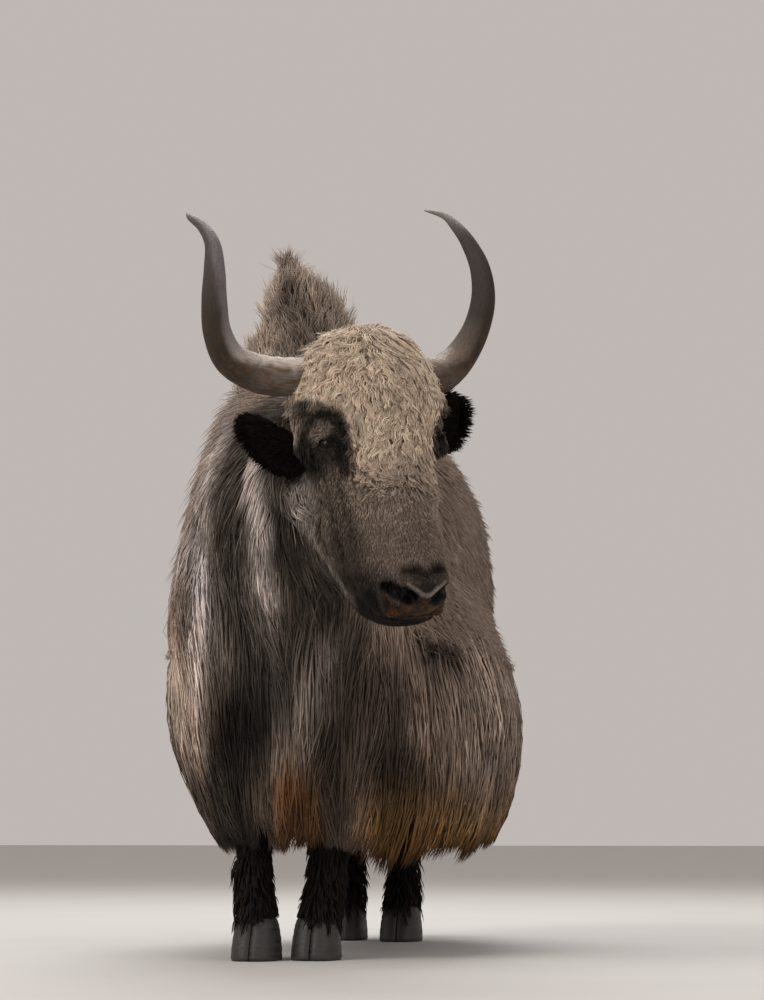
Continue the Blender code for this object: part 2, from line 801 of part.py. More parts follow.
def main():
    clear_scene()
    yak = new_collection("yak")
    cutters = new_collection("cutters")
    whole = whole_body(yak)
    shape_face(whole)
    whole = thin_out(whole, yak)
    tail = part_at(whole, (0, 0.685, 0.80), (0, 1, 0.05), "tail_dock")
    part_at(tail, (0, 0.75, 0.70), (0, 0, -1), "tail_switch")
    skirt = cut(copy_of(whole, "skirt"), skirt_block(CUT, cutters), "INTERSECT")
    flesh = cut(whole, skirt_block(0, cutters), "DIFFERENCE")
    head = part_flesh(flesh)
    part_skirt(skirt)
    fit_into(head, ((horn, "horn"), (ear, "ear"), (eye, "eye")), yak, cutters)
    for name, foot in FEET.items():
        side = math.copysign(1, foot.x)
        claw(f"claw_{name}_outer", foot, side, yak)
        claw(f"claw_{name}_inner", foot, -side, yak)
    settle(yak)


main()
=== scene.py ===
"""The looks of a life-size yak: one skin, a coat of joined locks, eyes, horns, ears and hooves."""
import math

import bmesh
import bpy
import numpy as np
from mathutils import Matrix, Vector
from mathutils.bvhtree import BVHTree
from mathutils.kdtree import KDTree


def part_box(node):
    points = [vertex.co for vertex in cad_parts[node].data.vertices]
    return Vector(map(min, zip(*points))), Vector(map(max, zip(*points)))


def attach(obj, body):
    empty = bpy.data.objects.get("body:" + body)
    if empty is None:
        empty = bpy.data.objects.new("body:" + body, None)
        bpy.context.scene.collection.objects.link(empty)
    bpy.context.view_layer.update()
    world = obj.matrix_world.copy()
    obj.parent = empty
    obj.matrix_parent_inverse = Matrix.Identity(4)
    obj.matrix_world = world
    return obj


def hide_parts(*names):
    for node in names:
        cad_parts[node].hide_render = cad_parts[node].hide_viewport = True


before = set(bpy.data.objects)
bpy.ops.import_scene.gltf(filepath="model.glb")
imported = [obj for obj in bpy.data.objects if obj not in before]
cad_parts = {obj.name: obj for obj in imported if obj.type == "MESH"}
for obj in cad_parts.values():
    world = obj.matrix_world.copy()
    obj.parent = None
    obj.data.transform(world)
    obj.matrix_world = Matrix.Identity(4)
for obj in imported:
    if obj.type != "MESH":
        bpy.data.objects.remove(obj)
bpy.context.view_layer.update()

# The head's pose and sizes, in metres, as in the CAD.
HEAD_LENGTH = 0.54
HEAD_TURN = math.radians(38)
FACE_DROP = math.radians(68)
HEAD_TILT = math.radians(4.8)
EYE_RADIUS = 0.0195
EYE_PLACE = np.array([0.112, 0.198, -0.034])
HORN_BAR = np.array([0, 0.020, -0.060])
LEFT_HORN_SPREAD = 1.06
EAR_RISE = {1: 0.030, -1: -0.014}
MUZZLE_TURN = 0.010
SKIN_VOXEL = 0.008
SKIN_GROWTH = 0.0012
LEG_INSET = 0.006
HEAD_INSET = 0.005
HOOF_TOP = 0.075
# How deep the roots lie, and each lock's patch on its unwrap, half the width and the length.
ROOT_DEPTH = 0.0015
PATCH_HALF, PATCH_LENGTH = 0.0013, 0.0028
SIDES = {1: "left", -1: "right"}
FEET = ("fore_left", "fore_right", "hind_left", "hind_right")
FLESH = ["neck", "chest", "hump", "barrel", "rump", "tail_dock", "tail_switch"]
FLESH += [f"{pair}leg_{part}_{side}" for pair in ("fore", "hind")
          for part in ("upper", "lower") for side in ("left", "right")]

FEWER = 1.0
WIDER = 1.0

# The camera, as the photograph's horizon and the animal's place in it ask.
CAMERA_PLACE = Vector((1.2110, -5.2530, 0.25))
CAMERA_HEADING = math.radians(12)
CAMERA_RISE = math.atan(332 / 2450)

# Colours as linear red, green and blue.
CREAM = (0.71, 0.575, 0.445)
TAN = (0.34, 0.255, 0.20)
GREY = (0.60, 0.53, 0.495)
GREY_BROWN = (0.20, 0.155, 0.125)
DARK = (0.105, 0.088, 0.074)
BLACK = (0.0046, 0.0028, 0.0018)
RUST = (0.215, 0.115, 0.036)
BROWN = (0.095, 0.062, 0.040)
LEG = (0.0094, 0.0050, 0.0011)
# The nose pad's pale rim, a painted highlight on the moist ridge.
RIM_HIGHLIGHT = (0.27, 0.222, 0.188)


# Small helpers on arrays of points.


def unit(v):
    """Each row at a length of 1."""
    return v / np.maximum(np.linalg.norm(v, axis=-1, keepdims=True), 1e-9)


def ramp(x, start, end):
    """0 at start and 1 at end, smoothly, either way round."""
    t = np.clip((x - start) / (end - start), 0, 1)
    return t * t * (3 - 2 * t)


def dot(a, b):
    """The rows' dot products, as a column."""
    return (a * b).sum(-1, keepdims=True)


def lattice(cells, seed):
    """A random number from 0 to 1 for each cell of whole numbers."""
    c = cells.astype(np.int64)
    n = c[..., 0] * 73856093 ^ c[..., 1] * 19349663 ^ c[..., 2] * 83492791 ^ seed * 2654435761
    n &= 0xFFFFFFFF
    n = ((n ^ (n >> 15)) * 2246822519) & 0xFFFFFFFF
    n = ((n ^ (n >> 13)) * 3266489917) & 0xFFFFFFFF
    return ((n ^ (n >> 16)) & 0xFFFFFF) / 0xFFFFFF


def noise(p, scale, seed=0):
    """Smooth noise from -1 to 1. The scale is cells per metre, one number or three."""
    p = p * np.asarray(scale, float) + 1000.0
    base = np.floor(p)
    t = p - base
    t = t * t * (3 - 2 * t)
    total = 0.0
    for corner in np.ndindex(2, 2, 2):
        share = np.prod(np.where(corner, t, 1 - t), axis=-1)
        total = total + share * lattice(base + corner, seed)
    return total * 2 - 1


def capsule(p, start, end, radius, soft=0.6):
    """1 within a radius of a line between two points, fading to 0 further out."""
    start, end = np.array(start, float), np.array(end, float)
    along = end - start
    t = np.clip(((p - start) @ along) / max(along @ along, 1e-9), 0, 1)
    away = np.linalg.norm(p - start - t[:, None] * along, axis=1)
    return ramp(away, radius * (1 + soft), radius * (1 - soft))


def blob(p, centre, radii, soft=0.5):
    """1 inside an ellipsoid, fading to 0 round its surface."""
    away = np.linalg.norm((p - np.array(centre)) / np.array(radii), axis=1)
    return ramp(away, 1 + soft, 1 - soft)


def line_share(p, line, radius, soft):
    """1 within a radius of a line of places."""
    return np.max([capsule(p, a, b, radius, soft) for a, b in zip(line, line[1:])], axis=0)


def round_turns(count):
    """Angles evenly round a circle, in radians."""
    return np.linspace(0, 2 * np.pi, count, endpoint=False)


def smooth_rows(rows, count):
    """Rows of numbers made into count rows along a smooth curve through them."""
    rows = np.array(rows, float)
    ends = np.vstack([2 * rows[0] - rows[1], rows, 2 * rows[-1] - rows[-2]])
    found = []
    for place in np.linspace(0, len(rows) - 1, count):
        k = min(int(place), len(rows) - 2)
        t = place - k
        before, start, end, after = ends[k : k + 4]
        bend = 2 * before - 5 * start + 4 * end - after
        twist = 3 * start - before - 3 * end + after
        found.append(start + 0.5 * ((end - before) * t + bend * t**2 + twist * t**3))
    return np.array(found)


# The head's own axes: x to the animal's left, y down the face, z out of the face.


def head_axes():
    left = Vector((math.cos(HEAD_TURN), math.sin(HEAD_TURN), 0))
    ahead = Vector((math.sin(HEAD_TURN), -math.cos(HEAD_TURN), 0))
    along = ahead * math.cos(FACE_DROP) - Vector((0, 0, 1)) * math.sin(FACE_DROP)
    turned = Matrix((left, along, along.cross(left))).transposed()
    tilt = Matrix.Rotation(HEAD_TILT, 3, ahead)
    level = [tilt @ left, ahead, tilt @ Vector((0, 0, 1))]
    return np.array(tilt @ turned), np.array(level)


HEAD, LEVEL = head_axes()


def middle(node):
    """The middle of a CAD node's box."""
    low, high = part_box(node)
    return (np.array(low) + np.array(high)) / 2


EYES = {1: middle("eye_left"), -1: middle("eye_right")}
POLL = (EYES[1] + EYES[-1]) / 2 - HEAD @ (EYE_PLACE * (0, 1, 1))
SHIFT = POLL - np.array([0.232, -0.790, 1.163])


def foot_middle(name):
    return (middle(f"claw_{name}_inner") + middle(f"claw_{name}_outer")) / 2


def muzzle_turn(down):
    """How far the face bends to the animal's right, by the way down it."""
    return MUZZLE_TURN * ramp(down, 0.28, 0.52)


def to_head(p):
    q = (p - POLL) @ HEAD
    q[..., 0] += muzzle_turn(q[..., 1])
    return q


def from_head(q):
    q = np.array(q, float)
    q[..., 0] -= muzzle_turn(q[..., 1])
    return q @ HEAD.T + POLL


def folded(q):
    """Places in the head's axes, with the right side's laid onto the left."""
    return np.stack([np.abs(q[:, 0]), q[:, 1], q[:, 2]], 1)


# Meshes from arrays.


def add_object(name, data, finish=None):
    """An object in the scene, of a mesh, a lamp or a camera."""
    made = bpy.data.objects.new(name, data)
    bpy.context.scene.collection.objects.link(made)
    if finish:
        data.materials.append(finish)
    return made


def add_piece(data, finish, slot, *nodes):
    """An object on the root body that stands for CAD nodes, which it hides. Its slot is not used."""
    piece = add_object(data.name, data, finish)
    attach(piece, "root")
    if nodes:
        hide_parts(*nodes)


def mesh_from(name, points, faces, tint=None):
    """A mesh of triangles or quads, and a colour for each point if tint is given."""
    sides = faces.shape[1]
    data = bpy.data.meshes.new(name)
    data.vertices.add(len(points))
    data.vertices.foreach_set("co", points.astype(np.float32).ravel())
    data.loops.add(faces.size)
    data.loops.foreach_set("vertex_index", faces.astype(np.int32).ravel())
    data.polygons.add(len(faces))
    data.polygons.foreach_set("loop_start", np.arange(0, faces.size, sides, dtype=np.int32))
    data.update(calc_edges=True)
    data.polygons.foreach_set("use_smooth", np.ones(len(faces), bool))
    if tint is not None:
        set_tint(data, tint)
    return data


def set_tint(data, tint):
    layer = data.attributes.new("tint", "FLOAT_COLOR", "POINT")
    coloured = np.ones((len(tint), 4), np.float32)
    coloured[:, :3] = tint
    layer.data.foreach_set("color", coloured.ravel())


def set_number(data, name, values):
    layer = data.attributes.new(name, "FLOAT", "POINT")
    layer.data.foreach_set("value", values.astype(np.float32))


def grid_faces(rings, sides):
    """The quads between the rings of a tube."""
    k = np.arange(sides)
    n = (k + 1) % sides
    rows = [np.stack([r * sides + k, r * sides + n, (r + 1) * sides + n, (r + 1) * sides + k], 1)
            for r in range(rings - 1)]
    return np.concatenate(rows)


def tube(name, rings):
    """A closed tube over an array of rings, which are (rings, sides, 3)."""
    count, sides = rings.shape[:2]
    points = np.concatenate([rings.reshape(-1, 3), [rings[0].mean(0)], [rings[-1].mean(0)]])
    quads = grid_faces(count, sides)
    first, last = count * sides, count * sides + 1
    k = np.arange(sides)
    n = (k + 1) % sides
    low = np.stack([np.full(sides, first), n, k], 1)
    high = np.stack([np.full(sides, last), (count - 1) * sides + k, (count - 1) * sides + n], 1)
    triangles = np.concatenate([quads[:, [0, 1, 2]], quads[:, [0, 2, 3]], low, high])
    corners = points[triangles]
    volume = np.einsum("ij,ij->", corners[:, 0], np.cross(corners[:, 1], corners[:, 2]))
    if volume < 0:
        triangles = triangles[:, ::-1]
    return mesh_from(name, points, triangles)


def points_of(data):
    found = np.empty(len(data.vertices) * 3, np.float32)
    data.vertices.foreach_get("co", found)
    return found.reshape(-1, 3).astype(float)


def normals_of(data):
    found = np.empty(len(data.vertices) * 3, np.float32)
    data.vertex_normals.foreach_get("vector", found)
    return found.reshape(-1, 3).astype(float)


def put_points(data, points):
    data.vertices.foreach_set("co", points.astype(np.float32).ravel())
    data.update()


def applied(thing):
    """The object's mesh with its modifiers applied. The object goes."""
    graph = bpy.context.evaluated_depsgraph_get()
    data = bpy.data.meshes.new_from_object(thing.evaluated_get(graph))
    bpy.data.objects.remove(thing)
    return data


# The skin.


def head_loft():
    """The head from the poll to the lips, as in the CAD, with closer sections."""
    rows = [
        (-0.085, 0.055, 0.016, -0.090, 2.0, 2.0),
        (-0.035, 0.110, 0.046, -0.130, 2.1, 2.0),
        (0.060, 0.140, 0.061, -0.165, 2.2, 2.0),
        (0.180, 0.151, 0.065, -0.200, 2.2, 2.0),
        (0.280, 0.146, 0.057, -0.222, 2.2, 2.1),
        (0.360, 0.131, 0.048, -0.235, 2.1, 2.1),
        (0.500, 0.106, 0.039, -0.236, 1.9, 2.3),
        (0.620, 0.096, 0.032, -0.238, 1.9, 2.8),
        (0.740, 0.087, 0.026, -0.232, 2.1, 3.0),
        (0.850, 0.078, 0.022, -0.204, 2.3, 2.9),
        (0.930, 0.068, 0.010, -0.165, 2.4, 2.5),
        (0.980, 0.053, -0.012, -0.128, 2.4, 2.4),
        (1.000, 0.027, -0.036, -0.094, 2.2, 2.2),
    ]
    angle = round_turns(72)
    rings = []
    for share, half, front, back, before, behind in smooth_rows(rows, 70):
        centre = (front + back) / 2 - 0.01
        up = np.sin(angle) >= 0
        power = np.where(up, before, behind)
        height = np.where(up, front - centre, centre - back)
        x = half * np.sign(np.cos(angle)) * np.abs(np.cos(angle)) ** (2 / power)
        z = centre + height * np.sign(np.sin(angle)) * np.abs(np.sin(angle)) ** (2 / power)
        rings.append(np.stack([x, np.full(72, share * HEAD_LENGTH), z], 1))
    return tube("head_loft", from_head(np.array(rings)))


def grown_copy(node, margin):
    """A CAD node's mesh, moved out along its normals by a margin."""
    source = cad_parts[node]
    data = source.data.copy()
    bm = bmesh.new()
    bm.from_mesh(data)
    bmesh.ops.remove_doubles(bm, verts=bm.verts, dist=1e-5)
    bm.normal_update()
    for vertex in bm.verts:
        vertex.co += vertex.normal * margin
    bm.to_mesh(data)
    bm.free()
    return data


def joined(meshes):
    """Several meshes as one, with nothing of theirs but the shape."""
    bm = bmesh.new()
    for data in meshes:
        bm.from_mesh(data)
    made = bpy.data.meshes.new("joined")
    bm.to_mesh(made)
    bm.free()
    return made


def coat_depth(p):
    """How deep the coat is over the skin."""
    q = to_head(p)
    trunk = 0.020 + 0.010 * ramp(p[:, 1], -0.1, -0.35) + 0.012 * ramp(p[:, 2], 1.1, 1.3)
    trunk -= 0.022 * crest_share(p)
    legs = ramp(p[:, 2], 0.50, 0.42)
    tail = ramp(p[:, 1], 0.715, 0.745)
    depth = trunk * (1 - legs) + 0.009 * legs
    depth = depth * (1 - tail) + 0.022 * tail
    on_head = head_share(p)
    face = 0.0035 + 0.0100 * curl_share(q) + 0.006 * ramp(q[:, 2], -0.14, -0.20)
    face *= ramp(q[:, 1], 0.53, 0.40) * 0.85 + 0.15
    return depth * (1 - on_head) + face * on_head


def jaw_line(down):
    """How far back the cheek and jaw reach, by the way down the face."""
    return np.interp(down, [-0.10, 0.10, 0.20, 0.32, 0.38, 0.42, 0.46],
                     [-0.090, -0.100, -0.122, -0.176, -0.225, -0.290, -0.360])


def head_share(p):
    x, down, out = to_head(p).T
    share = ramp(out - jaw_line(down), -0.012, 0.006)
    share *= ramp(down, 0.66, 0.60) * ramp(np.abs(x), 0.26, 0.20)
    return share * ramp(down, -0.13, -0.06)


def throat_share(p):
    """1 just behind the jaw's edge, where the neck's hair lies low."""
    x, down, out = to_head(p).T
    behind = out - jaw_line(down)
    share = ramp(behind, 0.002, -0.008) * ramp(behind, -0.085, -0.020)
    share *= ramp(down, 0.08, 0.17) * ramp(down, 0.56, 0.46)
    return share * ramp(np.abs(x), 0.26, 0.20)


def eye_distance(q, side):
    """1 on the edge of the dark ring round an eye, less inside it."""
    centre = np.array((side * 0.126, 0.187, -0.038 if side < 0 else -0.048))
    reach = (0.040, 0.054, 0.074) if side < 0 else (0.034, 0.052, 0.066)
    return np.linalg.norm((q - centre) / reach, axis=1)


def curl_edge(down):
    """How far out the forehead's curls reach, by the way down the face."""
    return np.interp(down, [0.060, 0.102, 0.135, 0.167, 0.190, 0.222, 0.270, 0.307, 0.335],
                     [0.175, 0.146, 0.124, 0.101, 0.092, 0.089, 0.085, 0.080, 0.060])


def curl_share(q):
    """1 where the forehead's curls are, in the head's own axes."""
    x, down, out = q.T
    share = ramp(down, 0.352, 0.265) * ramp(out + 0.35 * (down - 0.1), -0.095, -0.060)
    share *= ramp(down, -0.12, -0.06)
    return share * ramp(np.abs(x) - curl_edge(down), 0.003, -0.006)


def thickness(data, points, normals):
    """How thick the body is behind each point, up to 0.2 m."""
    tree = BVHTree.FromPolygons(points.tolist(), [tuple(f.vertices) for f in data.polygons])
    thick = np.full(len(points), 0.2)
    for k, (p, n) in enumerate(zip((points - normals * 0.002).tolist(), (-normals).tolist())):
        hit = tree.ray_cast(p, n, 0.2)
        if hit[0] is not None:
            thick[k] = hit[3]
    return thick


def relax(bm, verts, rounds):
    for _ in range(rounds):
        bmesh.ops.smooth_vert(bm, verts=verts, factor=0.5, use_axis_x=True, use_axis_y=True,
                              use_axis_z=True)


def refine(bm, chosen, rounds):
    """Halves the chosen faces' edges and then smooths the new points."""
    edges = list({edge for face in bm.faces if chosen(face) for edge in face.edges})
    made = bmesh.ops.subdivide_edges(bm, edges=edges, cuts=1, use_grid_fill=True)
    touched = {v for edge in made["geom_inner"] if isinstance(edge, bmesh.types.BMEdge)
               for v in edge.verts}
    touched |= {v for edge in edges if edge.is_valid for v in edge.verts}
    bmesh.ops.triangulate(bm, faces=[f for f in bm.faces if len(f.verts) > 4])
    relax(bm, list(touched), rounds)


def swell(q, centre, reach, push):
    """Moves the points near a centre by push, fading to nothing at its reach."""
    away = np.linalg.norm((q - np.array(centre)) / np.array(reach), axis=1)
    q += (np.clip(1 - away**2, 0, 1) ** 2)[:, None] * np.array(push)


def groove(q, line, width, push):
    """Moves the points near a line of places by push, fading to nothing at its width."""
    away = np.full(len(q), 9.0)
    for start, end in zip(line, line[1:]):
        start, end = np.array(start), np.array(end)
        along = end - start
        t = np.clip(((q - start) @ along) / (along @ along), 0, 1)
        away = np.minimum(away, np.linalg.norm(q - start - t[:, None] * along, axis=1))
    share = np.clip(1 - (away / width) ** 2, 0, 1) ** 2
    q += share[:, None] * np.array(push)
    return share


def eye_axes(side):
    """Outward, level and upward axes of an eye."""
    out = HEAD @ unit(np.array([side * 0.88, -0.04, 0.48]))
    level = unit(np.cross((0, 0, 1), out)) * side
    up = np.cross(out, level) * side
    tilt = math.radians(8)
    c, s = math.cos(tilt), math.sin(tilt)
    return out, level * c + up * s, up * c - level * s


def lid_edge(turn):
    """How far the opening reaches from the eye's axis, by the angle round it, in radians."""
    across, upward = np.cos(turn), np.sin(turn)
    high = np.where(upward > 0, math.radians(23), math.radians(17))
    return 1 / np.sqrt((across / math.radians(54)) ** 2 + (upward / high) ** 2)


def round_eye(rel, side):
    """How far places lie from an eye, the angle off its axis and the turn round the axis."""
    out, level, up = eye_axes(side)
    far = np.linalg.norm(rel, axis=1)
    polar = np.arccos(np.clip(rel @ out / np.maximum(far, 1e-6), -1, 1))
    return far, polar, np.arctan2(rel @ up, rel @ level)


def shape_lids(p, side):
    """Draws the skin over the eyeball and leaves the almond opening."""
    rel = p - EYES[side]
    near = np.linalg.norm(rel, axis=1) < 0.080
    rel = rel[near]
    far, polar, turn = round_eye(rel, side)
    beyond = polar - lid_edge(turn)
    above, below = np.clip(np.sin(turn), 0, 1), np.clip(-np.sin(turn), 0, 1)

    def band(middle, width):
        return np.exp(-(((beyond - middle) / width) ** 2))

    fold = above * (0.0034 * band(0.26, 0.15) - 0.0030 * band(0.60, 0.10)
                    + 0.0030 * band(0.95, 0.22))
    fold += below * (0.0020 * band(0.20, 0.10) - 0.0022 * band(0.40, 0.09)
                     + 0.0014 * band(0.62, 0.12))
    target = EYE_RADIUS + 0.0028 + fold
    hold = ramp(beyond, 1.10, 0.45) * ramp(polar, 1.9, 1.5)
    wanted = np.where(far < target, target, far * (1 - hold) + target * hold)
    wanted = np.where(polar > 1.75, far, wanted)
    inside = ramp(beyond, 0.05, -0.08)
    wanted = wanted * (1 - inside) + (EYE_RADIUS - 0.005) * inside
    p[near] = EYES[side] + rel * (wanted / far)[:, None]


NOSTRIL = [(0.029, 0.527, -0.018), (0.043, 0.516, -0.017), (0.055, 0.503, -0.025),
           (0.064, 0.490, -0.040)]
PAD_RIM = [(0.037, 0.504, 0.003), (0.029, 0.511, 0.001), (0.019, 0.517, -0.004),
           (0.009, 0.5225, -0.009), (0.0, 0.5245, -0.011)]
PAD_TOP = [(0.040, 0.481, 0.007), (0.022, 0.486, 0.013), (0.0, 0.494, 0.011)]
MOUTH = [(0.0, 0.556, -0.074), (0.030, 0.550, -0.076), (0.052, 0.528, -0.086),
         (0.066, 0.495, -0.102), (0.074, 0.462, -0.116), (0.079, 0.440, -0.124)]


def mirrored(line, side):
    return [(side * x, y, z) for x, y, z in line]


# What swells or sinks on both sides of the face: the middle, the reach and the push.
SWELLINGS = (
    ((0.105, 0.155, 0.020), 0.060, (0.009, -0.002, 0.009)),
    ((0.122, 0.200, -0.030), 0.050, (0.006, 0, 0.004)),
    ((0.114, 0.272, -0.036), 0.046, (-0.006, 0, -0.002)),
    ((0.085, 0.320, -0.130), 0.090, (0.012, 0, 0)),
    ((0.084, 0.330, -0.030), (0.022, 0.120, 0.022), (-0.004, 0, -0.004)),
    ((0.046, 0.500, 0.010), 0.034, (0.008, 0.002, 0.008)),
    ((0.066, 0.498, -0.070), 0.040, (-0.005, 0, 0)),
    ((0.072, 0.462, -0.034), (0.030, 0.045, 0.030), (-0.005, 0, -0.002)),
    ((0.058, 0.520, -0.066), (0.030, 0.035, 0.018), (0.003, 0.004, 0)),
    ((0.022, 0.497, 0.012), (0.022, 0.020, 0.022), (0, 0.003, 0.004)),
)


def shape_head(p):
    """Brows, sockets, cheeks, lids, nostrils, pad and lips. Also returns the bare skin's shares."""
    q = to_head(p)
    for side in (1, -1):
        for centre, reach, push in SWELLINGS:
            swell(q, np.array(centre) * (side, 1, 1), reach, np.array(push) * (side, 1, 1))
    swell(q, (0, 0.110, 0.060), 0.110, (0, 0, 0.008))
    swell(q, (0, 0.555, -0.105), (0.050, 0.050, 0.026), (0, -0.010, 0.002))
    hole = np.zeros(len(q))
    rim = np.zeros(len(q))
    lips = np.zeros(len(q))
    for side in (1, -1):
        line = mirrored(NOSTRIL, side)
        groove(q, line, 0.026, (side * 0.003, 0.003, 0.006))
        hole = np.maximum(hole, groove(q, line[:3], 0.0190, (-side * 0.010, -0.024, -0.016)))
        hole = np.maximum(hole, groove(q, line[2:], 0.0140, (-side * 0.010, -0.010, -0.008)))
        rim = np.maximum(rim, groove(q, mirrored(PAD_RIM, side), 0.0072, (0, 0.0015, 0.0022)))
        groove(q, mirrored([(x, y + 0.011, z - 0.009) for x, y, z in PAD_RIM], side), 0.009,
               (0, -0.003, -0.003))
        groove(q, mirrored(PAD_TOP, side), 0.009, (0, 0, -0.0035))
        lips = np.maximum(lips, groove(q, mirrored(MOUTH, side), 0.0095,
                                       (-side * 0.003, -0.010, 0.001)))
        groove(q, mirrored([(x * 1.04, y + 0.004, z + 0.014) for x, y, z in MOUTH], side), 0.012,
               (side * 0.002, 0.003, 0))
    groove(q, [(0, 0.535, -0.018), (0, 0.556, -0.060)], 0.006, (0, -0.0035, -0.001))
    p[:] = from_head(q)
    for side in (1, -1):
        shape_lids(p, side)
    return hole, rim, lips


def make_skin():
    """The flesh's solids as one mesh, sunk by the coat's depth, with the face's detail."""
    # The lower legs go in early, so that the remesh doesn't join the fetlocks.
    parts = [grown_copy(node, -LEG_INSET if "leg_lower" in node else SKIN_GROWTH) for node in FLESH]
    parts += [grown_copy("head", -HEAD_INSET), head_loft()]
    thing = add_object("skin_start", joined(parts))
    remesh = thing.modifiers.new("union", "REMESH")
    remesh.mode = "VOXEL"
    remesh.voxel_size = SKIN_VOXEL
    blend = thing.modifiers.new("blend", "SMOOTH")
    blend.factor = 0.5
    blend.iterations = 9
    data = applied(thing)
    points, normals = points_of(data), normals_of(data)
    depth = coat_depth(points) - LEG_INSET * ramp(points[:, 2], 0.34, 0.28)
    depth = np.minimum(depth, 0.24 * thickness(data, points, normals))
    put_points(data, points - normals * depth[:, None])
    bm = bmesh.new()
    bm.from_mesh(data)
    relax(bm, bm.verts, 2)

    def on_face(face):
        q = to_head(np.array(face.calc_center_median()))
        return abs(q[0]) < 0.19 and -0.09 < q[1] < 0.62 and q[2] > -0.24

    def at_detail(face):
        centre = np.array(face.calc_center_median())
        q = to_head(centre)
        if q[1] > 0.44 and abs(q[0]) < 0.12 and q[2] > -0.16:
            return True
        return min(np.linalg.norm(centre - EYES[1]), np.linalg.norm(centre - EYES[-1])) < 0.055

    refine(bm, on_face, 6)
    refine(bm, at_detail, 2)
    bmesh.ops.triangulate(bm, faces=bm.faces)
    bm.to_mesh(data)
    bm.free()
    points = points_of(data)
    hole, rim, lips = shape_head(points)
    put_points(data, points)
    data.polygons.foreach_set("use_smooth", np.ones(len(data.polygons), bool))
    return data, hole, rim, lips


# The markings, which the skin and the coat share.


def over(base, share, colour):
    """A colour laid over a base, by its share at each place."""
    return base * (1 - share[:, None]) + np.array(colour) * share[:, None]


def painted(tone, p, marks):
    """Lays a table's marks over a tone, one after another."""
    for most, colour, soft, *shapes in marks:
        cover = [(capsule if len(shape) == 3 else blob)(p, *shape, soft) for shape in shapes]
        tone = over(tone, most * np.max(cover, axis=0), colour)
    return tone


